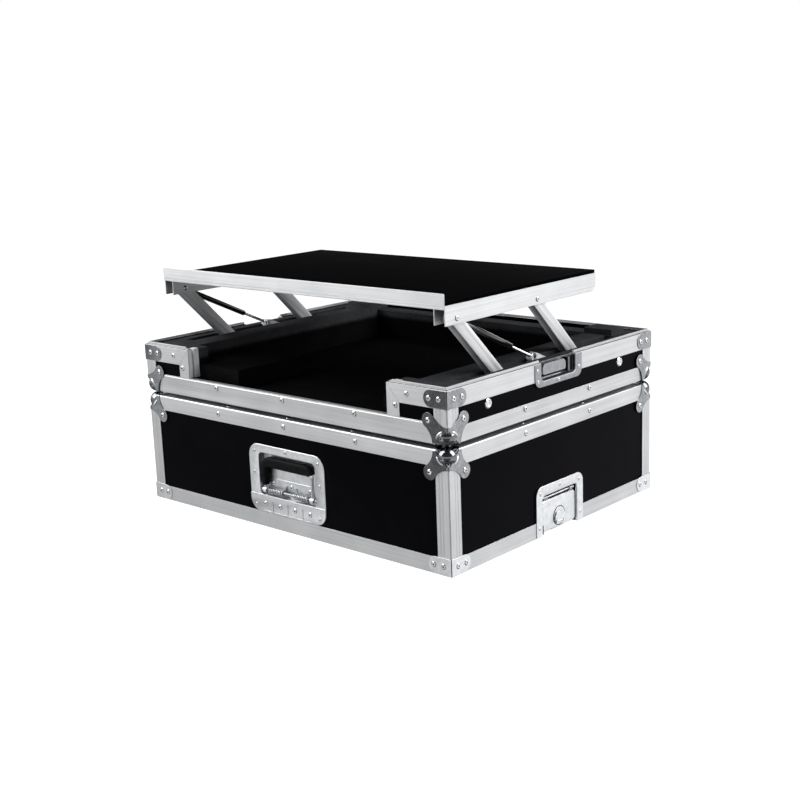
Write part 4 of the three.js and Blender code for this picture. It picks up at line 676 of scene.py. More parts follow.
def turned(profile, steps):
    """A closed round body from a profile of radius and height that starts and ends on the axis."""
    body = bmesh.new()
    rings = []
    for radius, rise in profile:
        if radius == 0:
            rings.append([body.verts.new((0, 0, rise * MM))] * steps)
        else:
            rings.append([body.verts.new((x * MM, y * MM, rise * MM))
                          for x, y in arc(0, 0, radius, 0, 360, steps)[:-1]])
    for low, high in zip(rings, rings[1:]):
        for i in range(steps):
            j = (i + 1) % steps
            body.faces.new(dict.fromkeys((low[i], low[j], high[j], high[i])))
    bmesh.ops.recalc_face_normals(body, faces=body.faces)
    return body


def hoop(profile, steps):
    """A closed ring about the z axis from a closed profile of radius and height."""
    body = bmesh.new()
    loft(body, [[(radius * math.cos(a), radius * math.sin(a), rise) for radius, rise in profile]
                for a in (2 * math.pi * i / steps for i in range(steps))], whole=True)
    bmesh.ops.recalc_face_normals(body, faces=body.faces)
    return body


RIVET_RADIUS, RIVET_RISE, RIVET_SINK = 4.75, 1.7, -0.3


def rivet_head():
    """A low dome with a rolled edge and the small dimple of its pin."""
    profile = [(0, RIVET_SINK), (RIVET_RADIUS, RIVET_SINK), (RIVET_RADIUS, 0.2 * RIVET_RISE)]
    for i in range(1, 6):
        angle = math.radians(15 + 15 * i)
        share = math.cos(angle) ** 0.8 if i < 5 else 0.34
        profile.append((RIVET_RADIUS * share, RIVET_RISE * math.sin(angle)))
    profile += [(RIVET_RADIUS * 0.28, RIVET_RISE * 0.45), (0, RIVET_RISE * 0.4)]
    head = turned(profile, 20)
    # The dimple's bottom faces take the next finish, dark steel as painted shade.
    for face in head.faces:
        pit_shade_faces = face.calc_center_median().xy.length < RIVET_RADIUS * MM * 0.33
        face.material_index = int(face.normal.z > 0 and pit_shade_faces)
    return head


def ball_corner():
    """Drawn for the corner at the origin with the case at negative x, y and z."""
    shape = bmesh.new()
    diagonal = Vector((1, 1, 1)).normalized()
    leg = leg_plate()
    head = rivet_head()
    for third in range(3):
        spin = Matrix.Rotation(2 * math.pi * third / 3, 4, diagonal)
        add_part(shape, leg, spin)
        add_part(shape, head, spin @ Matrix.Translation((-LEG_AT, -LEG_AT, PLATE_TOP)), 3)
    everything = shape.verts[:] + shape.edges[:] + shape.faces[:]
    bmesh.ops.bisect_plane(
        shape, geom=everything, plane_co=(TIP_CUT,) * 3, plane_no=diagonal, clear_outer=True)
    aim = diagonal.to_track_quat("Z", "Y").to_matrix().to_4x4()
    ball = bmesh.new()
    bmesh.ops.create_uvsphere(ball, u_segments=40, v_segments=20, radius=BALL_RADIUS)
    add_part(shape, ball, Matrix.Translation((-BALL_INSET,) * 3) @ aim, 1)
    lip = hoop(arc(LIP_RADIUS, 0, LIP_THICKNESS, 0, 360, 12)[:-1], 48)
    add_part(shape, lip, Matrix.Translation((-LIP_INSET,) * 3) @ aim, 2)
    for part in (leg, head, ball, lip):
        part.free()
    return shape


corner = ball_corner()
for box, height, way in (("lid", LID_TOP, 1), ("tray", TRAY_FOOT, -1)):
    for name, side_x, side_y in (("front_left", -1, -1), ("front_right", 1, -1), ("rear_right", 1, 1),
                                 ("rear_left", -1, 1)):
        place = Matrix.Translation((side_x * CASE_X * MM, side_y * CASE_Y * MM, height * MM))
        shape = bmesh.new()
        add_part(shape, corner, place @ Matrix.Diagonal((side_x, side_y, way, 1)))
        stand_in(shape, f"{box}_ball_corner_{name}", "pressing", box, PLATED,
                 (shade_darkened_nickel, shade_darkened_polish, zinc, chrome, painted_shade_steel), edge=0.25, angle=38)
corner.free()


# Handle
# A pressed steel dish sunk in the lid's front, with a hinge plate riveted over its foot and a
# strap across its back. The bail turns on an axle between the dish's sides.
def rounded(half, low, high, low_round, high_round, mouth=None):
    """Outline of a rounded rectangle, left open on its low or high side where it has a mouth."""
    low_arcs, high_arcs = (
        [arc(way * (half - radius), z, radius, start, start + 90, 6) for way, start in turns]
        for z, radius, turns in ((low + low_round, low_round, ((-1, 180), (1, 270))),
                                 (high - high_round, high_round, ((1, 0), (-1, 90)))))
    if mouth == "low":
        return [(half, low)] + high_arcs[0] + high_arcs[1] + [(-half, low)]
    if mouth == "high":
        return [(-half, high)] + low_arcs[0] + low_arcs[1] + [(half, high)]
    return low_arcs[1] + high_arcs[0] + high_arcs[1] + low_arcs[0]


def pressed(shape, turn, rings, mouth=None, inner=0, middle=0, finish=0):
    """A pressing as a closed body, from its floor's face out over the flange and back behind, with
    its middle along the face. Where it has inner layers, its floor and they take the second finish, a
    painted shade in the pocket."""
    layers = [[on_face(turn, x + middle, inset, z) for x, z in rounded(*outline, mouth)]
              for *outline, inset in rings]
    walls, ends = loft(shape, layers, finish, mouth=bool(mouth))
    if inner:
        for face in ends[:1] + walls[:inner * len(walls) // (len(layers) - 1)]:
            face.material_index = 1


EASING = 0.3


def plate(shape, turn, half, low, high, low_round, high_round, front, back, middle=0, finish=0):
    """A flat plate with its front edge eased, standing between two insets."""
    eased = (half - EASING, low + EASING, high - EASING,
             max(low_round - EASING, 0.05), max(high_round - EASING, 0.05))
    full = (half, low, high, max(low_round, 0.1), max(high_round, 0.1))
    rings = [(*eased, front), (*full, front + EASING), (*full, back)]
    pressed(shape, turn, rings, middle=middle, finish=finish)


shape = bmesh.new()
pressed(shape, 0, [
    (62.0, 60.3, 124.3, 3, 6, 13.0), (64.2, 58.1, 126.5, 4, 7, 12.6), (65.4, 56.9, 127.7, 5, 8, 11.0),
    (66.0, 56.4, 128.3, 5, 8, 3.0), (66.7, 55.7, 129.0, 6, 9, 1.3), (68.4, 54.0, 130.7, 8, 11, 0.5),
    (88.4, 26.9, 142.7, 21.4, 21.4, 0.5), (89.0, 26.3, 143.3, 22, 22, 0.9), (89.0, 26.3, 143.3, 22, 22, 1.5),
    (67.2, 55.2, 129.5, 6, 9, 1.5), (67.0, 55.4, 129.3, 6, 9, 12.0), (64.0, 58.4, 126.3, 5, 8, 14.0),
])
# The strap's upper edge stands off the dish, which leaves a dark line above it.
plate(shape, 0, 50, 64.3, 84.3, 1, 1, 11.2, 12.9)
stand_in(shape, "handle_dish", "pressing", "lid", PLATED, (zinc,), edge=0.25)

# The hinge plate has three upright ribs and one along its foot.
shape = bmesh.new()
pressed(shape, 0, [
    (88.4, 26.9, 56.0, 21.4, 0.1, -0.8), (89.0, 26.3, 56.3, 22, 0.3, -0.5), (89.0, 26.3, 56.3, 22, 0.3, 0.2),
])
for place in (-35.6, 0, 35.6):
    plate(shape, 0, 0.9, 29, 48, 0.8, 0.8, -1.5, -0.7, middle=place)
plate(shape, 0, 58, 28.2, 29.4, 0.5, 0.5, -1.3, -0.7)
stand_in(shape, "handle_hinge_plate", "pressing", "lid", PLATED, (zinc,), edge=0.25)


def grown(tree, name, seed, body, values, replaced=()):
    """Runs a node tree over a mesh and keeps what it makes as a plain piece on a body."""
    holder = bpy.data.objects.new(f"{name}_seed", seed)
    scene.collection.objects.link(holder)
    modifier = holder.modifiers.new("grow", "NODES")
    modifier.node_group = tree
    for socket in tree.interface.items_tree:
        if socket.name in values:
            modifier[socket.identifier] = values[socket.name]
    graph = bpy.context.evaluated_depsgraph_get()
    mesh = bpy.data.meshes.new_from_object(holder.evaluated_get(graph), depsgraph=graph)
    holder.modifiers.remove(modifier)
    bpy.data.objects.remove(holder)
    return settle(name, mesh, body, replaced)


def named_inputs(tree, **kinds):
    """Gives a node tree a mesh in, a mesh out and its named sizes between."""
    for way in ("INPUT", "OUTPUT"):
        tree.interface.new_socket(name="Geometry", in_out=way, socket_type="NodeSocketGeometry")
    for name, kind in kinds.items():
        tree.interface.new_socket(
            name=name.replace("_", " "), in_out="INPUT", socket_type=f"NodeSocket{kind}")
    return tree.nodes.new("NodeGroupInput").outputs


def ended(tree, geometry, finish):
    """Makes a tree's instances real and gives them their finish."""
    real = wire(tree, "GeometryNodeRealizeInstances", "Geometry", {"Geometry": geometry})
    return wire(tree, "GeometryNodeSetMaterial", "Geometry", {"Geometry": real, "Material": finish})


# Round wire or bar along a path: the path's edges become a curve and a circle runs along it.
bent_wire = bpy.data.node_groups.new("bent_wire", "GeometryNodeTree")
given = named_inputs(bent_wire, Wire_radius="Float", Sides="Int", Finish="Material")
path = wire(bent_wire, "GeometryNodeMeshToCurve", "Curve", {"Mesh": given["Geometry"]})
ring = wire(bent_wire, "GeometryNodeCurvePrimitiveCircle", "Curve",
            {"Resolution": given["Sides"], "Radius": given["Wire radius"]})
bar = wire(bent_wire, "GeometryNodeCurveToMesh", "Mesh",
           {"Curve": path, "Profile Curve": ring, "Fill Caps": True})
wire(bent_wire, "NodeGroupOutput", None, {"Geometry": ended(bent_wire, bar, given["Finish"])})


def round_bar(name, body, radius, finish, paths, *replaced, sides=14, slot=PLATED):
    """Round bars of one radius along open paths of points, all in millimetres."""
    points, edges = [], []
    for track in paths:
        first = len(points)
        points += [tuple(value * MM for value in point) for point in track]
        edges += [(first + i, first + i + 1) for i in range(len(track) - 1)]
    seed = bpy.data.meshes.new("path")
    seed.from_pydata(points, edges, [])
    piece = grown(bent_wire, name, seed, body,
                  {"Wire radius": radius * MM, "Sides": sides, "Finish": finish}, replaced)
    for polygon in piece.data.polygons:
        polygon.use_smooth = len(polygon.vertices) < 5


# The two wound springs and the bail are bright steel. The axle takes the balls' polished finish,
# painted dark as painted shade.
AXLE_Y, AXLE_Z, AXLE_END = -272.5, 64.3, 65.7
COIL_RADIUS, COIL_START, COIL_LENGTH, COIL_TAIL = 4.6, 12, 34, 76
TURN_STEPS = 16
COIL_STEPS = int(8.5 * TURN_STEPS)
BAIL_X, BAIL_TOP, BAIL_BEND, BAIL_FOOT = 56, 113.8, 12, 4.2
EYE_HALF = 4
round_bar("handle_axle_bar", "lid", 3.0, shade_darkened_polish,
          [[(-AXLE_END, AXLE_Y, AXLE_Z), (AXLE_END, AXLE_Y, AXLE_Z)]], "handle_axle", sides=20)
for name, side in SIDES:
    coil = [(side * (COIL_START - 0.1), AXLE_Y + COIL_RADIUS, COIL_TAIL)]
    for step in range(COIL_STEPS + 1):
        angle = -2 * math.pi * step / TURN_STEPS
        coil.append((side * (COIL_START + COIL_LENGTH * step / COIL_STEPS),
                     AXLE_Y + COIL_RADIUS * math.cos(angle), AXLE_Z + COIL_RADIUS * math.sin(angle)))
    coil.append((*coil[-1][:2], COIL_TAIL))
    round_bar(f"handle_spring_{name}_coil", "lid", 1.1, chrome, [coil], f"handle_spring_{name}",
              sides=8, slot="spring_steel")

BEND_X, BEND_Z = BAIL_X - BAIL_BEND, BAIL_TOP - BAIL_BEND
bends = arc(-BEND_X, BEND_Z, BAIL_BEND, 180, 90, 8) + arc(BEND_X, BEND_Z, BAIL_BEND, 90, 0, 8)
feet = [(side * BAIL_X, AXLE_Y, AXLE_Z + BAIL_FOOT) for side in (-1, 1)]
bail = [feet[0]] + [(x, AXLE_Y, z) for x, z in bends] + [feet[1]]
eyes = [[(side * BAIL_X + way * EYE_HALF, AXLE_Y, AXLE_Z) for way in (-1, 1)] for side in (-1, 1)]
round_bar("handle_bail_wire", "handle", 3.0, chrome, [bail], "handle_bail", slot="chromed_rod")
round_bar("handle_bail_eyes", "handle", 5.2, chrome, eyes, sides=18, slot="chromed_rod")

# The grip is black rubber moulded round the bail, thick across the top and thinner down the arms.
rubber = cloudy("moulded_black_rubber", (8, 5.0), ("#070708", "#101012"), (0.42, 0.62), start=0.35,
                Specular_IOR_Level=0.05)
# The mould's grain is about half a millimetre.
emboss(rubber, clouds(rubber, 0.5, 2.0), 0.3, 0.1)

GRIP_SIDES, GRIP_SQUARENESS, GRIP_DEPTH = 20, 0.72, 6.0
ARM_WIDTH, BEND_WIDTH, TOP_WIDTH = 6.0, 9.2, 9.3
# Each station is a point of the bail's line, the way it runs there, and the grip's width and depth.
stations = [(-BAIL_X, 73.4, -90, 4.4, 4.6), (-BAIL_X, 74.1, -90, 5.6, 5.6),
            (-BAIL_X, 95, -90, ARM_WIDTH, 5.9), (-BAIL_X, 100, -90, ARM_WIDTH, GRIP_DEPTH)]
for step, (x, z) in enumerate(arc(-BEND_X, BEND_Z, BAIL_BEND, 180, 90, 7)[1:-1], 1):
    share = step / 7
    stations.append((x, z, -90 - 90 * share, ARM_WIDTH + (BEND_WIDTH - ARM_WIDTH) * share, GRIP_DEPTH))
stations += [(x, BAIL_TOP, -180, TOP_WIDTH, GRIP_DEPTH) for x in (-42, -28, -14)]
# The right arm's rubber has slid up to the bend, and its wire shows below.
stations += [(-x, z, -360 - a, w, d) for x, z, a, w, d in reversed(stations[5:])]


def grip_ring(x, z, heading, width, depth):
    """One ring of the grip's skin, a rounded square across the bail's line."""
    across = math.radians(heading)
    ring = []
    for c, s in arc(0, 0, 1, 0, 360, GRIP_SIDES)[:-1]:
        reach = width * math.copysign(abs(c) ** GRIP_SQUARENESS, c)
        out = depth * math.copysign(abs(s) ** GRIP_SQUARENESS, s)
        ring.append((x + reach * math.sin(across), AXLE_Y + out, z - reach * math.cos(across)))
    return ring


shape = bmesh.new()
loft(shape, [grip_ring(*station) for station in stations])
stand_in(shape, "handle_grip", "moulding", "handle", "black_rubber", (rubber,), angle=50)


# Latches
# Each side of the lid has a butterfly latch in a pressed dish, open at the foot. A cover holds the
# hook plate in the dish, and a round plate with a folding wing turns it.
TURNS = {"right": 1, "left": 3}
SEAT_Z, SEAT_RADIUS, BED_RADIUS = 23, 16.6, 15.2
SLIT_AT = 44.6
ROLL_INSET, ROLL_HALF, ROLL_Z, ROLL_RADIUS = 5.2, 44, 60.6, 3.1
for name, side in SIDES:
    turn = TURNS[name]
    shape = bmesh.new()
    # The pocket's floor and lower wall take the dark finish, painted shade in the open dish.
    pressed(shape, turn, [
        (45.6, 1, 63.6, 1, 5, 10.0), (47.4, 1, 65.4, 1, 6, 9.0), (48.0, 1, 66.0, 1, 7, 2.2),
        (48.7, 1, 66.7, 1, 8, -0.5), (50.6, 1, 68.6, 1, 9, -1.3), (64.4, 1, 83.4, 1, 15.4, -1.3),
        (65.0, 1, 84.0, 1, 16, -0.9), (65.0, 1, 84.0, 1, 16, 1.2), (49.6, 1, 67.6, 1, 8, 1.2),
        (49.0, 1, 67.0, 1, 8, 10.0), (47.0, 1, 65.0, 1, 6, 11.0),
    ], mouth="low", inner=2)
    pressed(shape, turn, [
        (43.6, 7.0, 54.0, 3, 5, 1.6), (45.4, 5.6, 55.4, 4, 6, 2.0), (46.6, 4.6, 56.4, 5, 7, 3.4),
        (45.0, 4.6, 56.4, 5, 7, 9.8),
    ])
    # A shadow line runs round the turning plate's seat.
    loft(shape, [[on_face(turn, x, inset, z) for x, z in arc(0, SEAT_Z, radius, 0, 350, 35)]
                 for radius, inset in ((SEAT_RADIUS, 1.35), (BED_RADIUS, 1.35), (BED_RADIUS, 2.2),
                                       (SEAT_RADIUS, 2.2))], finish=1, whole=True)
    # A dark strip at the cover's front edge, painted shade for the slit where it stands off the dish's wall.
    plate(shape, turn, 1.1, 1.5, 17, 0.5, 1.0, 1.0, 2.4, middle=-side * SLIT_AT, finish=1)
    stand_in(shape, f"latch_dish_{name}", "pressing", "lid", PLATED, (zinc, painted_shade_steel), edge=0.25)
    # The roll of the hook's upper end lies in the dish above the cover, with a spring at each end.
    x, y, z = side * (CASE_X - ROLL_INSET), ROLL_HALF, ROLL_Z
    coils = [[(x + ROLL_RADIUS * math.cos(math.radians(a)), end * (y - 2 - a / 360 * 2.9),
               z + ROLL_RADIUS * math.sin(math.radians(a))) for a in range(0, 1450, 30)] for end in (-1, 1)]
    round_bar(f"latch_roll_{name}", "lid", 1.6, zinc, [[(x, -y, z), (x, y, z)]], sides=16)
    round_bar(f"latch_roll_springs_{name}", "lid", 0.9, chrome, coils, sides=8)


# Catches
# The tray carries the other half of each latch: a dish open at the top with a keeper plate that
# the hook draws on. They are plated a duller grey than the latches.
pressed_steel = cloudy("grey_zinc_plated_steel", (9, 5.0, 0.6), ("#86878b", "#9c9da1"), (0.32, 0.42),
                       relief=(0.05, 0.2), Metallic=1.0)
for name, turn in TURNS.items():
    shape = bmesh.new()
    pressed(shape, turn, [
        (43.6, 258.4, 284, 5, 1, 9.0), (45.4, 256.6, 284, 6, 1, 8.0), (46.0, 256.0, 284, 7, 1, 2.2),
        (46.7, 255.3, 284, 8, 1, -0.5), (48.6, 253.4, 284, 8.5, 1, -1.3), (63.4, 246.6, 284, 13.4, 1, -1.3),
        (64.0, 246.0, 284, 14, 1, -0.9), (64.0, 246.0, 284, 14, 1, 1.2), (47.6, 254.4, 284, 8, 1, 1.2),
        (47.0, 255.0, 284, 8, 1, 9.0), (45.0, 257.0, 284, 6, 1, 10.0),
    ], mouth="high")
    # The keeper plate; under it a dark strip, painted shade for the gap, and beside it the slots' strips,
    # the dark ones painted shade.
    plate(shape, turn, 31, 264.0, 281.5, 4, 8, 1.2, 2.8, middle=-9)
    plate(shape, turn, 37, 260.6, 262.2, 0.4, 0.4, 3.4, 8.8, middle=-4, finish=1)
    for place, finish in ((27, 1), (31, 0), (35.5, 1), (40, 1)):
        plate(shape, turn, 1.3, 259, 282, 1, 1, 1.2, 8.6, middle=place, finish=finish)
    stand_in(shape, f"catch_dish_{name}", "pressing", "tray", PLATED, (pressed_steel, painted_shade_steel), edge=0.25)


# Latch turning plates, wings and hooks
# The spindle's round plate carries a D-shaped wing on two lugs, and turns the hook plate behind
# the cover. All are stamped from steel sheet and plated like the dish.
def node_copy(name):
    """A merged copy of a node's solid, with its flat faces made whole."""
    shape = bmesh.new()
    shape.from_mesh(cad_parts[name].data)
    bmesh.ops.remove_doubles(shape, verts=shape.verts, dist=0.002 * MM)
    bmesh.ops.dissolve_limit(shape, angle_limit=math.radians(0.5), verts=shape.verts, edges=shape.edges)
    return shape


for name in TURNS:
    for part, body in (("spindle", "turn"), ("wing", "wing"), ("hook", "hook")):
        node = f"latch_{part}_{name}"
        stand_in(node_copy(node), node, "stamping", f"latch_{body}_{name}", PLATED, (zinc,),
                 edge=0.2, angle=40)


# Laptop shelf
# A thin black board on two inverted aluminium channels, with an upright aluminium lip along its
# front that keeps a laptop from sliding off. The board's face is a dull textured laminate.
board_face = cloudy("dull_black_board_laminate", (1000 / 11, 5.0), ("#010102", "#030304"), (0.55, 0.7),
                    Specular_IOR_Level=0.004)
# The laminate's texture is a fine leather-like pebble of about 0.8 mm.
emboss(board_face, cells(board_face, 0.8), 0.2, 0.1)
stand_in(node_copy("shelf_board"), "shelf_board", "laminated", "shelf", "black_board", (board_face,),
         edge=0.5)


def lay_lines(shape, along):
    """Lays the map named run over every face, with the die lines along a direction."""
    along = Vector(along).normalized()
    layer = run_map(shape)
    shape.normal_update()
    for face in shape.faces:
        across = face.normal.cross(along)
        across = across.normalized() if across.length > 0.1 else Vector((0.3, 0.5, 0.8))
        for loop in face.loops:
            loop[layer].uv = (loop.vert.co.dot(along), loop.vert.co.dot(across) + 0.31 * abs(face.normal.z))


# The lip has a foot under the board and two beads along its lower half.
shape = bmesh.new()
plate(shape, 0, 323, 395.3, 419.3, 1.5, 2.5, 32, 33.5)
plate(shape, 0, 300.7, 399.6, 401, 0.1, 0.1, 32.8, 46)
for low in (396.2, 400.6):
    plate(shape, 0, 322.2, low, low + 1.4, 0.3, 0.3, 31.85, 32.2)
bmesh.ops.recalc_face_normals(shape, faces=shape.faces)
lay_lines(shape, (1, 0, 0))
stand_in(shape, "shelf_front_lip", "extrusion", "shelf", EXTRUDED, (aluminium,), edge=0.2)

ARM_PLANE = 312
CHANNEL_HALF, CHANNEL_WALL = 11, 1.5
SHELF_FRONT, SHELF_REAR = -243.7, 146.5
UPPER_PIVOTS = ((-216.5, 380), (-16.5, 380))


def channel(shape, side, open_z, web_z, front, rear):
    """A channel in the arms' plane from its open edge to its web, drawn out from front to rear."""
    half, inner = CHANNEL_HALF, CHANNEL_HALF - CHANNEL_WALL
    floor_z = web_z - math.copysign(CHANNEL_WALL, web_z - open_z)
    section = [(-half, open_z), (-half, web_z), (half, web_z), (half, open_z),
               (inner, open_z), (inner, floor_z), (-inner, floor_z), (-inner, open_z)]
    loft(shape, [[(side * (ARM_PLANE + x), y, z) for x, z in section] for y in (front, rear)])


def studs(side, pivots, end):
    """A stud on each side of each pivot's arm, from the arm out to an end."""
    return [[(side * ARM_PLANE + way * 6.1, y, z), (side * ARM_PLANE + way * end, y, z)]
            for y, z in pivots for way in (-1, 1)]


for name, side in SIDES:
    shape = bmesh.new()
    channel(shape, side, 371, 401, SHELF_FRONT, SHELF_REAR)
    # The rear end is cut at a slant.
    split(shape, (0, SHELF_REAR * MM, 380 * MM), Vector((0, 1, -1)).normalized(), keep_all=False)
    bmesh.ops.recalc_face_normals(shape, faces=shape.faces)
    lay_lines(shape, (0, 1, 0))
    stand_in(shape, f"shelf_channel_{name}", "extrusion", "shelf", EXTRUDED, (aluminium,), edge=0.25)
    round_bar(f"shelf_pivot_studs_{name}", "shelf", 2.5, chrome, studs(side, UPPER_PIVOTS, 12), sides=12)


# Arms
# Four equal aluminium channels with rounded ends carry the shelf. They swing together, so the
# shelf stays level. The open side of each channel looks forwards and down.
for end in ("front", "rear"):
    for name in TURNS:
        node = f"arm_{end}_{name}"
        shape = node_copy(node)
        lay_lines(shape, (0, -1, 1))
        stand_in(shape, node, "extrusion", node, EXTRUDED, (mill,), angle=40)


# Arm rails
# Inside each side wall an upright channel takes the arms' lower pivots. Two bolts hold it through
# the wall, with a bright cup washer outside, and a folded bracket on it anchors the gas strut.
LOWER_PIVOTS = ((-84.5, 248), (115.5, 248))
ANCHOR = (-19.5, 287)
RAIL_FOOT, RAIL_TOP, RAIL_HALF = 227, 257, 205
BOLT_Y, BOLT_Z = 179.5, 247
BRACKET_HALF, CHEEK, CURL_OUTER, CURL_INNER = 5.8, 1.5, 7.4, 5.8
CUP_PROFILE = [(0, 0.2), (1.6, 0.2), (1.9, 0.95), (3.4, 1.05), (4.0, 0.75), (5.4, 1.4), (6.4, 1.35),
               (7.6, 0.7), (8.2, -0.1), (0, -0.1)]


def sheet(shape, outline, low_x, high_x):
    """A flat part drawn as (y, z) from its side, with a thickness in x."""
    loft(shape, [[(x, y, z) for y, z in outline] for x in (low_x, high_x)])


def bolts(side, start, end):
    """The lines of a rail's two bolts between two distances from the case's middle."""
    return [[(side * start, y, BOLT_Z), (side * end, y, BOLT_Z)] for y in (-BOLT_Y, BOLT_Y)]


for name, side in SIDES:
    shape = bmesh.new()
    channel(shape, side, RAIL_TOP, RAIL_FOOT, -RAIL_HALF, RAIL_HALF)
    lay_lines(shape, (0, 1, 0))
    stand_in(shape, f"arm_rail_{name}", "extrusion", "tray", EXTRUDED, (aluminium,), edge=0.25)
    for part, radius, finish, paths, sides in (
            ("studs", 2.5, chrome, studs(side, LOWER_PIVOTS, 13), 12),
            ("bolts", 3.0, zinc, bolts(side, 317, 348.9), 12),
            ("nuts", 5.0, zinc, bolts(side, 317.2, 321.2), 6)):
        round_bar(f"arm_rail_{part}_{name}", "tray", radius, finish, paths, sides=sides)
    # Cup washer with its countersunk bolt: a bright raised ring round a sunk socket.
    shape = bmesh.new()
    washer = turned(CUP_PROFILE, 32)
    for y in (-BOLT_Y, BOLT_Y):
        place = Matrix.Translation((side * 348.6 * MM, y * MM, BOLT_Z * MM))
        add_part(shape, washer, place @ Matrix.Rotation(side * math.pi / 2, 4, "Y"))
    washer.free()
    add_piece(shape, f"side_bolt_cups_{name}", "tray", PLATED, (chrome,), edge=0.1, angle=50)

    # The strut's bracket: two cheeks, a sloping web between them and a curl that holds the pin.
    y, z = ANCHOR
    middle = side * ARM_PLANE
    curl = arc(y, z, CURL_OUTER, 60, -195, 17) + arc(y, z, CURL_INNER, -195, 60, 17)
    slope = [(y + 3.2, z + 6.8), (y + 46, z - 12), (y + 46, z - 13.6), (y + 2.6, z + 5.2)]
    cheek = [(y - 6, 228.7), (y + 10, 228.7), (y + 10, 257.5), (y + 44, 257.5),
             (y + 44, z - 13), (y + 6, z + 3), (y + 2, z - 5.9), (y - 6, z - 8)]
    shape = bmesh.new()
    for outline in (curl, slope):
        sheet(shape, outline, middle - BRACKET_HALF, middle + BRACKET_HALF)
    for low in (-BRACKET_HALF, BRACKET_HALF - CHEEK):
        sheet(shape, cheek, middle + low, middle + low + CHEEK)
    add_piece(shape, f"strut_bracket_{name}", "tray", PLATED, (matt,), edge=0.2, angle=40)
    pin = [(middle - 6.6, y, z), (middle + 6.6, y, z)]
    round_bar(f"strut_bracket_pin_{name}", "tray", 2.4, chrome, [pin])


# Gas struts
# A black painted tube with a bright chromed rod. The tube's eye sits on the front arm's upper
# pivot, the rod's on the bracket's pin.
paint = cloudy("black_painted_tube", (2, 2.0), ("#020203", "#060607"), (0.10, 0.16), Specular_IOR_Level=0.6)
run_y, run_z = (top - foot for top, foot in zip(UPPER_PIVOTS[0], ANCHOR))
NECK_END = math.hypot(run_y, run_z) - 6.5
TUBE_PROFILE = [(0, 59.8), (2.7, 59.8), (2.9, 60.3), (4.4, 60.5), (5, 61.3), (5, 190.4), (4.3, 191.8),
                (3.8, 192), (3.8, NECK_END), (0, NECK_END)]
ROD_PROFILE = [(0, 4.6), (3.2, 4.6), (3.2, 10), (2.5, 11), (2.5, 128), (0, 128)]
strut_aim = Vector((0, run_y, run_z)).to_track_quat("Z", "Y").to_matrix().to_4x4()
# Turns the z axis into the x axis, the x axis into y and y into z.
LYING = Matrix(((0, 0, 1, 0), (1, 0, 0, 0), (0, 1, 0, 0), (0, 0, 0, 1)))


def strut_eye(outer, inner, half):
    """An eye about the x axis, its edges eased."""
    return hoop([(inner, -half + 0.4), (inner + 0.4, -half), (outer - 0.6, -half), (outer, -half + 0.6),
                 (outer, half - 0.6), (outer - 0.6, half), (inner + 0.4, half), (inner, half - 0.4)], 32)


for name, side in SIDES:
    foot = Matrix.Translation((side * ARM_PLANE * MM, ANCHOR[0] * MM, ANCHOR[1] * MM))
    top = foot @ Matrix.Translation((0, run_y * MM, run_z * MM))
    for part, profile, steps, eye, place, slot, coat, finish in (
            ("tube", TUBE_PROFILE, 24, (8.2, 5.5, 4), top, "black_painted_steel", "painted", paint),
            ("rod", ROD_PROFILE, 20, (5.2, 2.7, 2.8), foot, "chromed_rod", "chromed", chrome)):
        shape = bmesh.new()
        for solid, matrix in ((turned(profile, steps), foot @ strut_aim), (strut_eye(*eye), place @ LYING)):
            add_part(shape, solid, matrix)
            solid.free()
        node = f"strut_{part}_{name}"
        stand_in(shape, node, coat, node, slot, (finish,), edge=0.15, angle=50)


# Foam
# The tray is lined with charcoal polyethylene foam, cut from sheet: a floor, a block down each
# side with a slot for the arms, and a block at the rear. Sawn faces are dull with open cells.
foam = new_finish("charcoal_closed_cell_foam", Specular_IOR_Level=0.0, Roughness=1.0)
# The cells are about 1 mm across, drawn at 1.6 mm so that they show.
pattern = blended(foam, cells(foam, 1.6, "F1"), clouds(foam, 1000 / 24, 6.0), 0.5)
tone = graded(foam.node_tree, pattern, (0.25, "#202022"), (0.70, "#3a3b3d"))
# The foam is painted much darker below the tops: painted shade in the well, with the tops at full tone.
where = wire(foam.node_tree, "ShaderNodeTexCoord", "Object")
above = wire(foam.node_tree, "ShaderNodeSeparateXYZ", "Z", {0: where})
painted_well_shade = mapped(foam.node_tree, above, 0.262, 0.272, 0.12, 1.0, smooth=True)
feed(foam, "Base Color",
     wire(foam.node_tree, "ShaderNodeVectorMath", "Vector", {0: tone, "Scale": painted_well_shade}, operation="SCALE"))
emboss(foam, pattern, 0.6, 0.5)
for node in ("foam_floor", "foam_right", "foam_left"):
    piece = stand_in(node_copy(node), node, "cut_sheet", "tray", "black_foam", (foam,),
                     edge=1.4, steps=3, angle=50)


# Rivets
# Split rivets with chromed heads hold the edges, brackets and dishes. Each head is a low dome with
# the dimple of its pin. One tree sets a head on every point and turns it to face outwards.
riveted = bpy.data.node_groups.new("riveted", "GeometryNodeTree")
given = named_inputs(riveted, Head_radius="Float", Head_rise="Float", Dimple_depth="Float",
                     Finish="Material", Dimple_finish="Material")
dome = wire(riveted, "GeometryNodeMeshUVSphere", "Mesh", {"Segments": 16, "Rings": 10, "Radius": 1.0})
spot = wire(riveted, "GeometryNodeInputPosition", "Position")
size = wire(riveted, "ShaderNodeCombineXYZ", "Vector",
            {"X": given["Head radius"], "Y": given["Head radius"], "Z": given["Head rise"]})
sized = worked(riveted, "MULTIPLY", spot, size, "Vector", vector=True)
flat = worked(riveted, "MULTIPLY", spot, (1, 1, 0), "Vector", vector=True)
reach = wire(riveted, "ShaderNodeVectorMath", "Value", {0: flat}, operation="LENGTH")
rise = wire(riveted, "ShaderNodeSeparateXYZ", "Z", {0: spot})
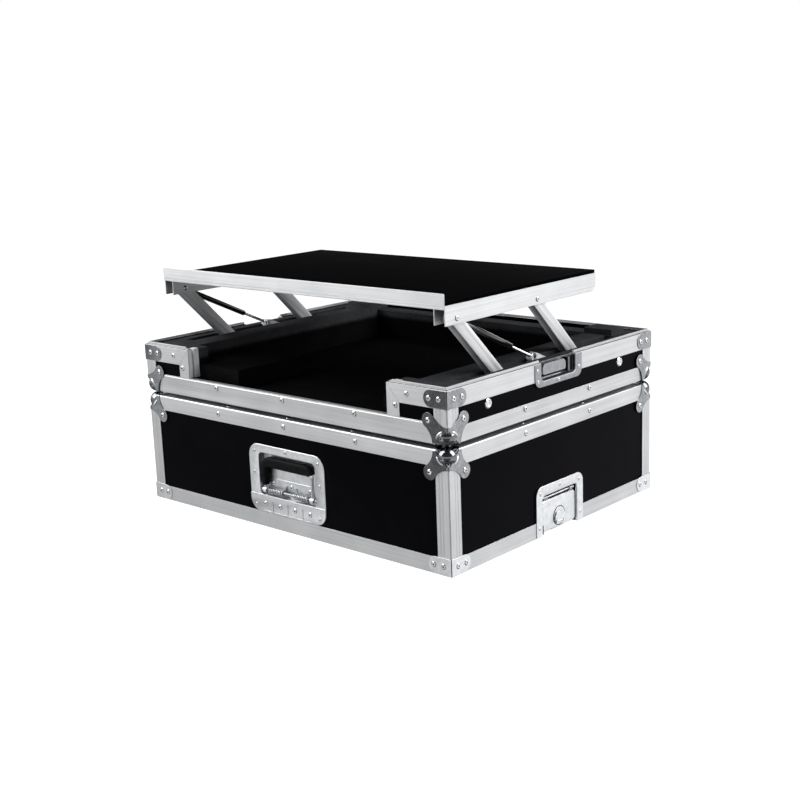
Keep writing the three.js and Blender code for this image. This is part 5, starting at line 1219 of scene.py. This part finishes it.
upper = worked(riveted, "GREATER_THAN", rise, 0.0)
# The dimple sinks the middle of the dome's upper half, and its bottom takes the second finish,
# which is dark steel: painted shade in the dimple.
pit = mapped(riveted, reach, 0.14, 0.42, -1.0, 0.0, smooth=True)
deep = worked(riveted, "MULTIPLY", worked(riveted, "MULTIPLY", pit, given["Dimple depth"]), upper)
dimple_shade_mask = worked(riveted, "MULTIPLY", worked(riveted, "LESS_THAN", reach, 0.33), upper)
marked = wire(riveted, "GeometryNodeStoreNamedAttribute", "Geometry",
              {"Geometry": dome, "Value": dimple_shade_mask, "Name": "dimple"}, data_type="FLOAT", domain="FACE")
sunk = wire(riveted, "ShaderNodeCombineXYZ", "Vector", {"Z": deep})
head = wire(riveted, "GeometryNodeSetPosition", "Geometry",
            {"Geometry": marked, "Position": sized, "Offset": sunk})
facing = wire(riveted, "GeometryNodeInputNamedAttribute", "Attribute", {"Name": "facing"},
              data_type="FLOAT_VECTOR")
outwards = wire(riveted, "FunctionNodeAlignRotationToVector", "Rotation", {"Vector": facing}, axis="Z")
placed = wire(riveted, "GeometryNodeInstanceOnPoints", "Instances",
              {"Points": given["Geometry"], "Instance": head, "Rotation": outwards})
pitted = wire(riveted, "GeometryNodeInputNamedAttribute", "Attribute", {"Name": "dimple"}, data_type="FLOAT")
pinned = wire(riveted, "GeometryNodeSetMaterial", "Geometry",
              {"Geometry": ended(riveted, placed, given["Finish"]), "Material": given["Dimple finish"],
               "Selection": worked(riveted, "GREATER_THAN", pitted, 0.5)})
wire(riveted, "NodeGroupOutput", None, {"Geometry": pinned})

FACING = {0: (0, -1, 0), 1: (1, 0, 0), 2: (0, 1, 0), 3: (-1, 0, 0), "up": (0, 0, 1)}
DIMPLE_SHARE = 0.7


def rivet_group(name, body, radius, rise, places):
    """One group of like rivets. Places are a face, along, inset and height, or up and a point."""
    mesh = bpy.data.meshes.new("rivet_places")
    points = [rest if turn == "up" else on_face(turn, *rest) for turn, *rest in places]
    mesh.from_pydata([tuple(value * MM for value in point) for point in points], [], [])
    facings = mesh.attributes.new("facing", "FLOAT_VECTOR", "POINT")
    for item, place in zip(facings.data, places):
        item.vector = FACING[place[0]]
    grown(riveted, name, mesh, body, {
        "Head radius": radius * MM, "Head rise": rise * MM, "Dimple depth": rise * DIMPLE_SHARE * MM,
        "Finish": chrome, "Dimple finish": painted_shade_steel})


def mirrored(turns, along, inset, height):
    """A rivet on each side of the middle of some faces."""
    return [(turn, sign * along, inset, height) for turn in turns for sign in (-1, 1)]


FRONT_AND_REAR, BOTH_SIDES = (0, 2), (1, 3)
ROW = (-162, 0, 162)
SIDE_ROW = 88
BRACKET_RIVETS = (15, 34)
EDGE_RIVET, DISH_RIVET, HINGE_RIVET, PIVOT_HEAD = (4.75, 1.7), (3.0, 0.9), (4.4, 1.6), (4.6, 2.3)


def bracket_places(height):
    """Two rivets on each leg of the four corner brackets."""
    return [(turn, sign * (SPAN[turn] - reach), -1.0, height)
            for turn in range(4) for sign in (-1, 1) for reach in BRACKET_RIVETS]


rivet_group("lid_rivets", "lid", *EDGE_RIVET, [
    *((turn, along, 0, 181) for turn in FRONT_AND_REAR for along in ROW),
    *mirrored(BOTH_SIDES, SIDE_ROW, 0, 181),
    *(("up", x, y, LID_TOP) for x in (-147, 0, 147) for y in (-264.5, 264.5)),
    *(("up", x, y, LID_TOP) for x in (-337, 337) for y in (-82, 82)),
    *bracket_places(14.5),
])
rivet_group("tray_rivets", "tray", *EDGE_RIVET, [
    *((turn, along, 0, height) for turn, height in ((0, 226), (2, 220)) for along in ROW),
    *mirrored(BOTH_SIDES, SIDE_ROW, 0, 220),
    *mirrored((0,), 272, 0, 271), *mirrored((0,), 249, 0, 251),
    *((2, along, 0, 271) for along in ROW),
    *bracket_places(270.5),
])
rivet_group("handle_rivets", "lid", *HINGE_RIVET, [
    *((0, along, -0.8, 41.3) for along in (-53.4, -17.8, 17.8, 53.4)),
    *((0, along, 11.2, 75) for along in (-44, 0, 44)),
])
rivet_group("dish_rivets", "lid", *DISH_RIVET, [
    (0, 0, 0.5, 137),
    *mirrored((0,), 77.5, 0.5, 93), *mirrored((0,), 75, 0.5, 130), *mirrored((0,), 76, -0.8, 37),
    *((turn, along, -1.3, height) for turn in BOTH_SIDES
      for along, height in ((0, 76.2), (-54, 72), (54, 72), (-57, 15), (57, 15))),
    *mirrored(BOTH_SIDES, 27, 2.2, 48),
])
rivet_group("catch_rivets", "tray", *DISH_RIVET, [
    (turn, along, -1.3, height) for turn in BOTH_SIDES
    for along, height in ((0, 250.2), (-56, 256), (-57, 274), (56, 262))])
rivet_group("pivot_heads_shelf", "shelf", *PIVOT_HEAD, [
    (turn, (-y if turn == 3 else y), 27, z) for turn in BOTH_SIDES for y, z in UPPER_PIVOTS])
# The heads on the channels' inner sides, each seen from across the case.
for name, turn, side in (("left", 1, 1), ("right", 3, -1)):
    rivet_group(f"pivot_heads_inner_{name}", "shelf", *PIVOT_HEAD,
                [(turn, side * y, 651, z) for y, z in UPPER_PIVOTS])
